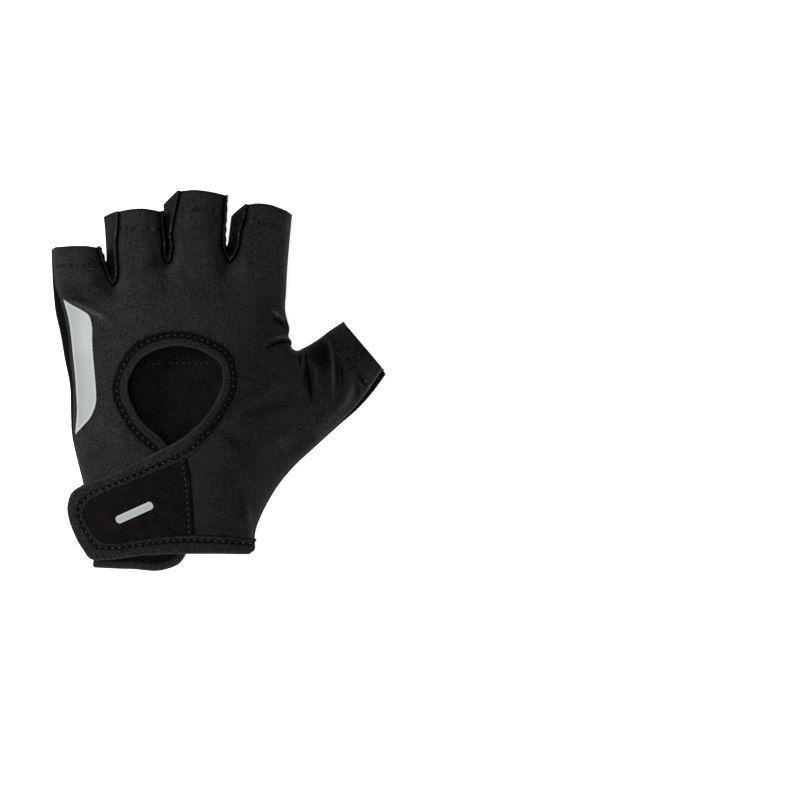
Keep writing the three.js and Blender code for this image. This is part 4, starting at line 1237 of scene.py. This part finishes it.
# The roll's section, in rows of (reach, drop, painted light): painted shade in the groove beside
# the seam, and a painted highlight on the roll's crest
GUSSET_ROLL = [
    (-0.7, -1.8, 0.1), (0.2, -1.7, 0.05), (0.6, -1.2, 0.1), (0.8, -0.4, 2), (1.15, 0.1, 8),
    (1.5, -0.15, 6), (1.75, -0.8, 0.6),
]
GUSSET_ROWS = 9
PUCKER_PITCH = 2.3
# The slots' walls are painted dark inside, as shade, and the painted shade lifts from here on to
# the finger ends, over a distance
SHADE_LIFTS_FROM = (57, 9)
# From this share of the way round, over a share, it is the right-hand roll, which faces the light
# and gets the brighter painted highlight
RIGHT_FROM = (0.35, 0.2)
# The roll's painted highlight is patchier near the crotch, and no more so from here on up, over a
# distance
PATCHY_HIGHLIGHT_TO = (-12, 10)
BROWN = (1.08, 1, 0.94)

gusset_knit = knit_finish("gusset_knit", dark=0.002, light=0.009, tint=BROWN, sheen=0.004)


def gusset_cloth(line):
    """The strip lofted along its seam: the puckered roll, then the wall down to the palm's edge."""
    cloth = new_cloth()
    grid = []
    run = 0
    for i, (x, y, palm_x, palm_y) in enumerate(line):
        before = line[max(0, i - 2)]
        after = line[min(len(line) - 1, i + 2)]
        along = Vector((after[0] - before[0], after[1] - before[1])).normalized()
        out = Vector((-along.y, along.x, 0))
        if i:
            run += math.hypot(x - line[i - 1][0], y - line[i - 1][1])
        seam = Vector((x, y, hand_height(x, y)))
        uneven = noise.noise(Vector((x * 0.3, y * 0.3, 6.1)))
        ripple = math.cos(math.tau * run / PUCKER_PITCH + 2 * uneven)
        pucker = 0.16 * ripple + 0.25 * uneven
        row = []
        for reach, drop, _ in GUSSET_ROLL:
            rise = drop + pucker * max(0, 1 + 0.6 * drop)
            row.append(seam + out * (reach * (1 + 0.4 * pucker)) + Vector((0, 0, rise)))
        out_of_painted_shade = eased((y - SHADE_LIFTS_FROM[0]) / SHADE_LIFTS_FROM[1])
        lit_right_hand = eased((i / len(line) - RIGHT_FROM[0]) / RIGHT_FROM[1])
        off_crotch = eased((y - palm_y - PATCHY_HIGHLIGHT_TO[0]) / PATCHY_HIGHLIGHT_TO[1])
        patchy_highlight = (1 - off_crotch) * noise.noise(Vector((run * 0.9, x * 0.3, 2.2)))
        # Painted highlight on the roll's crest, patchy near the crotch and dimmer on the left-hand
        # roll
        roll_highlight = 0.75 + 0.35 * ripple + 0.9 * uneven + 3.5 * patchy_highlight
        roll_highlight = max(0, roll_highlight) * (0.45 + 0.55 * lit_right_hand)
        painted_light_shades = [painted_light_shade if painted_light_shade < 1 else 1 + (painted_light_shade - 1) * roll_highlight for _, _, painted_light_shade in GUSSET_ROLL]
        painted_light_shades[5] *= 0.3 + 0.7 * lit_right_hand
        # Painted shade on the wall, deepest near the crotch
        painted_light_shades += [0.08 + 0.92 * out_of_painted_shade] * GUSSET_ROWS
        high = row[-1]
        low = Vector((palm_x, palm_y, PALM_LEVEL + 0.9))
        for k in range(1, GUSSET_ROWS + 1):
            share = k / GUSSET_ROWS
            belly = math.sin(math.pi * share)
            wrinkle = belly * (0.14 * math.sin(run * 1.3 + 2.5 * share) + 0.3 * uneven)
            row.append(high.lerp(low, share) + out * (0.35 * belly + wrinkle))
        depth = 0
        points = [add_point(cloth, row[0], (run, 0), painted_light_shades[0])]
        for first, second, painted_light_shade in zip(row, row[1:], painted_light_shades[1:]):
            depth += (second - first).length
            points.append(add_point(cloth, second, (run, depth), painted_light_shade))
        grid.append(points)
    add_grid(cloth, grid)
    return cloth


for name, line in slot_lines.items():
    gusset = cloth_piece(name + "_cloth", gusset_cloth(line), GUSSET_THICKNESS, gusset_knit, 60)
    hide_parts(name)

# One long elastic tape binds the flap's lower edge, the keyhole and the strap. It is folded over
# the raw edge and ribbed across. A row of stitches holds it: round the keyhole it presses the sewn
# half flat, and on the strap it leaves a groove with a thin bead beside it.
TAPE_STEP = 0.5
TAPE_WIDTH = 7
STITCH_SHARES = (0.64, 0.73)
STITCH_PITCH = 2.9
KEYHOLE_STITCH = {"pitch": STITCH_PITCH, "length": 0.95, "radius": 0.22, "lift": 0.2, "uneven": 1}
STRAP_STITCH = {"pitch": STITCH_PITCH, "length": 1.3, "radius": 0.2, "lift": 0.12, "uneven": 1}
# The keyhole's edge leaves the flap right of here, over a distance
KEYHOLE_RISE = (-12.4, 5.2)
# The strap's tape bends down over the wrist's thumb corner right of here, over a distance
CORNER_BEND = (12.4, 3)
CORNER_DIP = 1.1
# The stitches' pull on the tape, and how far its face wanders
TAPE_PUCKER = 0.12
TAPE_WANDER = 0.2
# Where across the tape, in millimetres, the black bands of painted shade begin and end, the strap's
# face is painted dark at its sewn edge as shade, and the fold has a painted highlight
KEYHOLE_PAINTED_SHADE = ((2.7, 3.6), (6.5, 6.1))
STRAP_PAINTED_SHADE = ((4.0, 4.6), (5.9, 5.5))
EDGE_PAINTED_SHADE = (6.85, 7.0)
FOLD_PAINTED_HIGHLIGHT = (1.3, 0.1)
RIB_PITCH = 0.85
DULL_OLIVE = (1, 1.01, 0.95)
# The two faces of the tape as (share across, height), from the sewn edge to the folded one, and
# then the half that is folded under
KEYHOLE_FACE = [
    (1.03, 0.04), (1.02, 0.3), (0.99, 0.48), (0.95, 0.42), (0.9, 0.26), (0.83, 0.28), (0.74, 0.24),
    (0.66, 0.22), (0.57, 0.46), (0.48, 0.8), (0.39, 1.04), (0.29, 1.14), (0.18, 1.05), (0.08, 0.72),
    (0.02, 0.15), (0, -0.5),
]
STRAP_FACE = [
    (1.03, 0.04), (1.02, 0.36), (0.98, 0.62), (0.92, 0.7), (0.86, 0.54), (0.81, 0.26), (0.75, 0.06),
    (0.69, 0.12), (0.62, 0.6), (0.53, 1.0), (0.42, 1.22), (0.3, 1.28), (0.18, 1.12), (0.08, 0.74),
    (0.02, 0.15), (0, -0.5),
]
TAPE_UNDERSIDE = [
    (0.015, -1.05), (0.07, -1.5), (0.17, -1.8), (0.4, -1.85), (0.7, -1.75), (1, -1.6), (1, -1.08),
    (0.6, -1.08), (0.2, -1.08), (0.17, -0.5), (0.2, 0.02), (0.6, 0.02),
]
# Where along the tape, in rows from the flap's corner, the keyhole's face turns into the strap's
FACE_CHANGE = 30


def keyhole_height(x, y):
    """The keyhole's edge lies on the flap on its left and rises with the strap on its right."""
    leaving = clamped((x - KEYHOLE_RISE[0]) / KEYHOLE_RISE[1])
    return hand_height(x, y) + strap_rise(x, y) * leaving


def strap_tape_height(x, y):
    """Height of the cloth under the strap's tape, which bends down over the thumb's corner."""
    return strap_height(x, y) - CORNER_DIP * eased((x - CORNER_BEND[0]) / CORNER_BEND[1])


def tape_section(kind):
    """The tape's section as (share across, height), from the keyhole's at 0 to the strap's at 1."""
    face = []
    for (share_a, height_a), (share_b, height_b) in zip(KEYHOLE_FACE, STRAP_FACE):
        face.append((share_a + (share_b - share_a) * kind, height_a + (height_b - height_a) * kind))
    return face + TAPE_UNDERSIDE


def tape_cloth(rows, heights, kinds):
    """Tape lofted along rows, each of a folded and a sewn edge with the height of its cloth."""
    cloth = new_cloth()
    grid = []
    run = 0
    for i, (row, height, kind) in enumerate(zip(rows, heights, kinds)):
        middle = Vector(across_tape(row, 0.5))
        if i:
            run += (middle - last).length
        last = middle
        stitched = STITCH_SHARES[0] + (STITCH_SHARES[1] - STITCH_SHARES[0]) * kind
        pucker = TAPE_PUCKER * math.cos(run * math.tau / STITCH_PITCH)
        wander = TAPE_WANDER * noise.noise(Vector((run * 0.25, 0.5, 2.2)))
        line = []
        for share, offset in tape_section(kind):
            x, y = across_tape(row, share)
            pulled = 0
            if offset > 0.05:
                pulled = wander + pucker * math.exp(-(((share - stitched) / 0.2) ** 2))
            out = straight_out(height, x, y, 0.4)
            place = Vector((x, y, height(x, y))) + out * (offset + pulled)
            line.append(add_point(cloth, place, (run, TAPE_WIDTH * share), kind))
        grid.append(line + line[:1])
    add_grid(cloth, grid)
    cloth.faces.new(grid[0][:-1])
    cloth.faces.new(grid[-1][-2::-1])
    return cloth


def ribbed_finish(name, black, dark, light):
    """Cross-ribbed elastic tape: light ribs, a painted highlight along its fold, and a black band
    of painted shade where it is stitched.
    """
    finish = Finish(name, {"Roughness": 0.75, "Specular IOR Level": 0.03})
    place = finish.attribute("cloth")
    along = finish.part(place, "X")
    across = finish.part(place, "Y")
    kind = finish.part(place, "Z")
    wobble = finish.cloud(place, 0.9, 2)
    grain = finish.cloud(place, 1.5, 3)
    ribs = finish.wave(along + wobble * 0.9 + across * 0.12, RIB_PITCH)
    ragged = across + grain * 1.2 - 0.6
    bands = []
    for near, far in (KEYHOLE_PAINTED_SHADE, STRAP_PAINTED_SHADE):
        bands.append(finish.spread(ragged, *near) * finish.spread(ragged, *far))
    keyhole_painted_shade, strap_painted_shade = bands
    edge_painted_shade_mask = finish.spread(across, *EDGE_PAINTED_SHADE)
    # Painted shade: the black band where the stitches press the tape down, and the strap's sewn
    # edge
    band = keyhole_painted_shade + (strap_painted_shade - keyhole_painted_shade) * kind + edge_painted_shade_mask * kind
    # Painted highlight along the folded edge
    fold = finish.spread(across, *FOLD_PAINTED_HIGHLIGHT) * 0.3
    shade = finish.spread(ribs * 0.4 + grain * 0.85 + fold, 0.4, 0.98)
    cloth_grey = finish.colour(shade, grey(dark, DULL_OLIVE), grey(light, DULL_OLIVE))
    # The painted shade is broken up by the grain
    grainy_painted_shade = band * (1.15 - grain * 0.6)
    finish.paint("Base Color", finish.colour(grainy_painted_shade, cloth_grey, grey(black, DULL_OLIVE)))
    finish.relief(ribs * 0.8 + grain * 0.8, 0.7, 0.3)
    return finish


ribbed_tape = ribbed_finish("ribbed_tape", black=0.001, dark=0.003, light=0.038)
fine_keyhole = smooth_line(KEYHOLE_TAPE, TAPE_STEP)
fine_strap = smooth_line(STRAP_TAPE, TAPE_STEP)[1:]
tape_heights = [keyhole_height] * len(fine_keyhole) + [strap_tape_height] * len(fine_strap)
tape_kinds = [0.0] * len(fine_keyhole)
tape_kinds += [eased(k / FACE_CHANGE) for k in range(len(fine_strap))]
tape_mesh = tape_cloth(fine_keyhole + fine_strap, tape_heights, tape_kinds)
edge_tape = cloth_piece("edge_tape", tape_mesh, 0, ribbed_tape, 60)
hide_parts("keyhole_tape", "strap_tape")

tape_thread = thread_finish("tape_thread", 0.06)
tape_stitches = new_cloth()
# Below this the strap hides the tape, and its stitches are left out
HIDDEN_BELOW = -60
keyhole_stitches = [
    across_tape(row, STITCH_SHARES[0]) for row in fine_keyhole if row[1] > HIDDEN_BELOW]
strap_stitches = [across_tape(row, STITCH_SHARES[1]) for row in fine_strap]
add_stitches(tape_stitches, keyhole_stitches, keyhole_height, **KEYHOLE_STITCH)
add_stitches(tape_stitches, strap_stitches, strap_tape_height, **STRAP_STITCH)
tape_rows = cloth_piece("tape_stitches", tape_stitches, 0, tape_thread)

# The same tape binds the palm's edge at the wrist, from the flap round under the hand to the
# strap's lower corner. Its edge slopes up at the two sides.
CUFF_EDGE = 1.6
CUFF_STEPS = 60
# The lowest that the tape comes to the table
CUFF_LOWEST = 0.12
# How many of the path's last places the strap's tape covers
CUFF_HIDDEN = 3
# The inner half's thickness at its two ends and over the seams, and over how many places it changes
END_THICKNESS = 0.3
END_PLACES = 6
SEAM_BULGE = 0.35
SEAM_PLACES = 1.8
CUFF_SHAPE = [
    (1, 0.1), (0.97, 0.5), (0.8, 0.3), (0.6, 0.72), (0.3, 0.85), (0.1, 0.7), (0, 0.2), (0, -1.3),
    (0.1, -1.9), (0.5, -2), (1, -1.95), (1, -1.45), (0.5, -1.45), (0.3, -1.45), (0.3, 0.02),
    (0.6, 0.02),
]


def cuff_path():
    """The wrist's edge, from the flap round under the palm to the strap."""
    places = []
    for row, order in ((pinky_side[0], 1), (thumb_side[-1], -1)):
        side = []
        points = wall_points(row, "whole")
        for k, point in enumerate(points):
            ahead = points[min(len(points) - 1, k + 1)] - points[max(0, k - 1)]
            ahead.normalize()
            place = row["edge"] + row["out"] * point.x
            normal = row["out"] * -ahead.y
            place = Vector((place.x, place.y, point.y))
            side.append((place, Vector((normal.x, normal.y, ahead.x))))
        places.append(side[::order])
    first, last = places
    start, end = first[-1][0], last[0][0]
    flat = []
    for k in range(1, CUFF_STEPS):
        place = Vector((*bowed(start, end, k / CUFF_STEPS), start.z))
        flat.append((place, Vector((0, 0, -1))))
    return first + flat + last


cuff_cloth = new_cloth()
cuff_grid = []
cuff_run = 0
cuff_before = None
cuff_places = cuff_path()
pinky_seam = CURVE_STEPS * seam_share(pinky_side[0], wall_section(pinky_side[0])[0])
thumb_seam = CURVE_STEPS * seam_share(thumb_side[-1], wall_section(thumb_side[-1])[0])
thumb_seam = len(cuff_places) - 1 - thumb_seam
cuff_places = cuff_places[:-CUFF_HIDDEN]
for index, (place, normal) in enumerate(cuff_places):
    # The inner half is thicker over the seams' turned edges, and thins out towards its two ends
    from_seam = min(abs(index - seam) for seam in (pinky_seam, thumb_seam))
    over_seam = math.exp(-((from_seam / SEAM_PLACES) ** 2))
    from_end = min(index, len(cuff_places) - 1 - index)
    inner_half = clamped(END_THICKNESS + from_end / END_PLACES) * (1 + SEAM_BULGE * over_seam)
    if cuff_before is not None:
        cuff_run += (place - cuff_before).length
    cuff_before = place
    line = []
    for share, offset in CUFF_SHAPE:
        slope = WRIST_SLOPE * (1 - share) * (place.z - PALM_LEVEL)
        spot = place + Vector((0, TAPE_WIDTH * share - CUFF_EDGE + slope, 0))
        spot += normal * (offset if offset > 0 else offset * inner_half)
        spot.z = max(CUFF_LOWEST, spot.z)
        line.append(add_point(cuff_cloth, spot, (cuff_run, TAPE_WIDTH * share), 1.0))
    cuff_grid.append(line + line[:1])
add_grid(cuff_cloth, cuff_grid)
cuff_cloth.faces.new(cuff_grid[0][:-1])
cuff_cloth.faces.new(cuff_grid[-1][-2::-1])
bmesh.ops.recalc_face_normals(cuff_cloth, faces=cuff_cloth.faces)
cuff_tape = cloth_piece("cuff_tape_ribbed", cuff_cloth, 0, ribbed_tape, 60)
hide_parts("cuff_tape")

# The strap's face is a patch of black velour, which the hooks under the strap grip. It is sewn
# under the tape all round, and to the back's knit along a stitched seam at its thumb end.
PATCH_PUFF = 0.45
PATCH_SPACING = 1.0
# The swell begins this far inside the patch's edge, and is whole a distance further in
PUFF_FROM = (3.6, 5)
# How far to the left and right of the seam the velour under it reaches
SEAM_ALLOWANCE = (-1.8, 2.2)
STRAP_STITCHES = [(-14.9, -33.2), (-13.9, -39.7), (-13, -47), (-12.4, -55.9), (-12, -66)]
SEAM_STITCH = {"pitch": 2.5, "length": 1.3, "radius": 0.28, "lift": 0.0, "uneven": 0.6}
# The groove that the stitches pull in: its reach to both sides, its depth, and the x right of which
# it lies
STITCH_GROOVE = (0.8, 0.8, -0.5)
GROOVE_FROM = -18
RUSSET = (1.3, 1, 0.96)

strap_outer = [point for point in strap_raw if point not in strap_top and point not in strap_low]
patch_outline = smooth_line([(x - 0.3, y) for x, y in STRAP_SEAM], EDGE_STEP)
patch_outline += strap_outer[::-1]
patch_tree = kdtree.KDTree(len(patch_outline))
for index, (x, y) in enumerate(patch_outline):
    patch_tree.insert((x, y, 0), index)
patch_tree.balance()


def patch_height(x, y):
    """The velour swells a little between the tape's sewn edges and its stitched end."""
    inside = patch_tree.find((x, y, 0))[2]
    swell = PATCH_PUFF * eased((inside - PUFF_FROM[0]) / PUFF_FROM[1])
    if x > GROOVE_FROM:
        swell += fold_height([(*place, *STITCH_GROOVE) for place in STRAP_STITCHES], x, y)
    return strap_height(x, y) + swell


def velour_finish(name, dark, light):
    """Short upright pile, brushed unevenly."""
    finish = Finish(name, {"Roughness": 1.0, "Specular IOR Level": 0.02})
    place = finish.attribute("cloth")
    pile = finish.cloud(place, MOTTLE, 2)
    brushed = finish.cloud(place, 0.22, 3)
    shade = finish.spread(pile * 0.87 + brushed * 0.13, 0.4, 0.62)
    rusty = finish.spread(brushed, 0.45, 0.6)
    tips = finish.colour(rusty, grey(light, OLIVE), grey(light, RUSSET))
    finish.paint("Base Color", finish.colour(shade, grey(dark, OLIVE), tips))
    finish.relief(pile, 0.6, 0.3)
    return finish


def turned_height(x, y):
    """Height of the velour that is turned under the seam, just below the cloth."""
    return strap_height(x, y) - BACK_THICKNESS - 0.1


strap_velour = velour_finish("strap_velour", dark=0.001, light=0.0125)
patch_cloth = new_cloth()
add_panel(patch_cloth, patch_outline, patch_height, PATCH_SPACING, roll=0.6)
# The turned-under velour backs the gap between the two cloths
turned_under = smooth_line([(x + SEAM_ALLOWANCE[1], y) for x, y in STRAP_SEAM], EDGE_STEP)
turned_under += smooth_line([(x + SEAM_ALLOWANCE[0], y) for x, y in STRAP_SEAM[::-1]], EDGE_STEP)
add_panel(patch_cloth, turned_under, turned_height, PATCH_SPACING, roll=0.2)
strap_patch = cloth_piece("strap_patch_velour", patch_cloth, BACK_THICKNESS, strap_velour)
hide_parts("strap_patch")

strap_thread = thread_finish("strap_thread", 0.05)
seam_stitches = new_cloth()
add_stitches(seam_stitches, smooth_line(STRAP_STITCHES, 1), patch_height, **SEAM_STITCH)
seam_row = cloth_piece("strap_seam_stitches", seam_stitches, 0, strap_thread)

# The hook fastener under the strap's tip is a thin plastic pad with fine hooks on both faces. It is
# hidden between the strap and the flap.
HOOK_PAD = {"middle": (-36, -58.5), "length": 24, "width": 13, "turn": 0.1, "corner": 3}
HOOK_THICKNESS = 1.4
HOOK_LIFT = 0.3
HOOK_PITCH = (1.0, 0.8)


def filled_in(line, step):
    """A line's points with more added on its long straight runs."""
    made = [line[0]]
    for (x0, y0), (x1, y1) in zip(line, line[1:]):
        count = max(1, round(math.hypot(x1 - x0, y1 - y0) / step))
        for k in range(1, count + 1):
            made.append((x0 + (x1 - x0) * k / count, y0 + (y1 - y0) * k / count))
    return made


def rounded_outline(pad):
    """A clockwise rectangle with round corners."""
    x, y, corner = pad["length"] / 2, pad["width"] / 2, pad["corner"]
    points = []
    for centre_x, centre_y, start in ((x, y, 90), (x, -y, 0), (-x, -y, -90), (-x, y, -180)):
        for k in range(7):
            turn = math.radians(start - 15 * k)
            middle_x = centre_x - math.copysign(corner, centre_x)
            middle_y = centre_y - math.copysign(corner, centre_y)
            points.append((middle_x + corner * math.cos(turn), middle_y + corner * math.sin(turn)))
    cos, sin = math.cos(pad["turn"]), math.sin(pad["turn"])
    middle_x, middle_y = pad["middle"]
    points = [(middle_x + px * cos - py * sin, middle_y + px * sin + py * cos) for px, py in points]
    return filled_in(points + points[:1], 1.0)[:-1]


hook_plastic = Finish("hook_plastic", {"Roughness": 0.55, "Specular IOR Level": 0.4})
hook_place = hook_plastic.attribute("cloth")
hook_columns = hook_plastic.wave(hook_plastic.part(hook_place, "X"), HOOK_PITCH[0])
hook_rows = hook_columns * hook_plastic.wave(hook_plastic.part(hook_place, "Y"), HOOK_PITCH[1])
hook_plastic.paint("Base Color", hook_plastic.colour(hook_rows, grey(0.006), grey(0.02)))
hook_plastic.relief(hook_rows, 0.8, 0.4)


def pad_height(x, y):
    """Height of the pad's upper face. It lies on the flap."""
    return hand_height(x, y) + HOOK_LIFT + HOOK_THICKNESS


pad_cloth = new_cloth()
add_panel(pad_cloth, rounded_outline(HOOK_PAD), pad_height, 1.0)
hook_pad = cloth_piece("hook_pad_plastic", pad_cloth, HOOK_THICKNESS, hook_plastic)
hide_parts("hook_pad")

# The silver patch is reflective film pressed onto the knit beside the little-finger seam, with a
# thin lighter rim. A plain bar of the same film is pressed onto the strap's velour.
FILM_RIGHT = [
    (-65.7, 34.2), (-61.9, 31.9), (-57, 29.2), (-54.4, 27.2), (-53.6, 24.8), (-53.1, 15.4),
    (-52.2, 3.3), (-51.6, -4.3), (-51.7, -9.6), (-52.6, -12.8), (-54.2, -15.9), (-57.5, -19.5),
    (-61, -23),
]
FILM_LEFT = [
    (-61, -23), (-60.1, -13.2), (-60.4, -4.3), (-61.4, 9.1), (-62.4, 19.4), (-63.7, 27.4),
    (-65.7, 34.2),
]
# The film's thickness, and how far it stands off the knit
FILM = 0.22
FILM_LIFT = 0.15
FILM_SPACING = 0.9
FILM_STEP = 0.7
BAR = {"middle": (-35, -56), "length": 17, "width": 3.4, "turn": 0.42, "corner": 1.5}
BAR_LIFT = 0.1
# The film is painted greyer towards the wrist, as the light falls off, and where it turns down the
# side, as painted shade, and its beads are painted as fine glints that catch light
FILM_LIT = (0.385, 0.412, 0.412, 1)
FILM_LESS_LIT = (0.335, 0.352, 0.348, 1)
FILM_SIDE_SHADE = (0.24, 0.25, 0.242, 1)
FILM_BEAD = (0.4, 0.42, 0.42, 1)
FILM_RIM = (0.5, 0.515, 0.515, 1)
# Over what distance in from its edge the rim ends, along y its painted light falls off, and along
# x it turns down into painted shade
RIM_WIDTH = (1.0, 0.55)
LIGHT_FALLOFF_Y = (14, 1)
TURN_X = (-54.5, -61)


def side_height(x, y):
    """Height of the back's outer face, also on the curve of the little-finger side."""
    after = next(i for i, row in enumerate(pinky_side) if row["edge"].y > y)
    rows = pinky_side[after - 1:after + 1]
    share = (y - rows[0]["edge"].y) / (rows[1]["edge"].y - rows[0]["edge"].y)
    heights = []
    for row in rows:
        beyond = (Vector((x, y)) - row["edge"]).dot(row["out"].normalized())
        if beyond <= 0:
            return hand_height(x, y)
        over, _ = wall_section(row)
        heights.append(bezier(over, share_at(over, beyond, 16)).y)
    return heights[0] + (heights[1] - heights[0]) * share


def film_height(x, y):
    """Height of the patch's outer face."""
    return side_height(x, y) + FILM + FILM_LIFT


def bar_height(x, y):
    """Height of the bar's outer face."""
    return patch_height(x, y) + FILM + BAR_LIFT


def film_piece(name, outline, height):
    """Film with a crisp edge, whose points remember how far they are from it."""
    cloth = new_cloth()
    add_panel(cloth, outline, height, FILM_SPACING, roll=0.1)
    tree = kdtree.KDTree(len(outline))
    for i, (x, y) in enumerate(outline):
        tree.insert((x, y, 0), i)
    tree.balance()
    flat = cloth.verts.layers.float_vector["cloth"]
    for point in cloth.verts:
        point[flat].z = tree.find((point.co.x, point.co.y, 0))[2]
    return cloth_piece(name, cloth, FILM, reflective_film, 40)


reflective_film = Finish("reflective_film", {
    "Roughness": 0.5, "Metallic": 0.0, "Specular IOR Level": 0.4,
})
film_place = reflective_film.attribute("cloth")
film_rim = reflective_film.spread(reflective_film.part(film_place, "Z"), *RIM_WIDTH)
film_beads = reflective_film.cloud(film_place, 3.0, 3)
film_light_falloff = reflective_film.spread(reflective_film.part(film_place, "Y"), *LIGHT_FALLOFF_Y)
film_side_shade = reflective_film.spread(reflective_film.part(film_place, "X"), *TURN_X)
# Painted light falling off towards the wrist, and painted shade where the film turns down the side
film_grey = reflective_film.colour(film_light_falloff, FILM_LIT, FILM_LESS_LIT)
film_grey = reflective_film.colour(film_side_shade * 0.6, film_grey, FILM_SIDE_SHADE)
# Painted glints of the glass beads
film_grey = reflective_film.colour(film_beads * 0.2, film_grey, FILM_BEAD)
film_grey = reflective_film.colour(film_rim * 0.5, film_grey, FILM_RIM)
reflective_film.paint("Base Color", film_grey)
reflective_film.relief(film_beads, 0.12, 0.05)

film_outline = smooth_line(FILM_RIGHT, FILM_STEP)[:-1] + smooth_line(FILM_LEFT, FILM_STEP)[:-1]
reflective_patch = film_piece("reflective_patch_film", film_outline, film_height)
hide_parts("reflective_patch")
strap_bar = film_piece("strap_reflector_film", rounded_outline(BAR), bar_height)
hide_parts("strap_reflector")

# The overlay under the palm is a second layer of suede that takes the wear. Its row of stitches
# goes through the palm and shows inside the glove, through the keyhole.
PALM_PATCH = {"middle": (-14, -26), "length": 64, "width": 68, "turn": 0, "corner": 12}
PATCH_LEVEL = 0.08
PATCH_THICKNESS = 0.7
STITCH_LINE = {"middle": (-14, -26), "length": 62, "width": 67, "turn": 0, "corner": 22}
OVERLAY_STITCH = {"pitch": 2.6, "length": 1.2, "radius": 0.2, "lift": -0.03, "uneven": 2}


def patch_level(x, y):
    """Height of the overlay's outer face, which lies on the table."""
    return PATCH_LEVEL


def lining_height(x, y):
    """Height of the palm's inner face, where the stitches show."""
    return palm_underside(x, y) + PALM_THICKNESS


patch_suede = suede_finish("overlay_suede", dark=0.008, light=0.017)
overlay_cloth = new_cloth()
overlay_outline = rounded_outline(PALM_PATCH)
add_panel(overlay_cloth, overlay_outline, patch_level, PALM_SPACING, roll=0.2, face=-1)
palm_patch = cloth_piece("palm_patch_suede", overlay_cloth, PATCH_THICKNESS, patch_suede)
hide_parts("palm_patch")

overlay_thread = thread_finish("overlay_thread", 0.029)
overlay_stitches = new_cloth()
stitch_line = rounded_outline(STITCH_LINE)
stitch_line += stitch_line[:1]
add_stitches(overlay_stitches, stitch_line, lining_height, **OVERLAY_STITCH)
overlay_rows = cloth_piece("overlay_stitches", overlay_stitches, 0, overlay_thread)
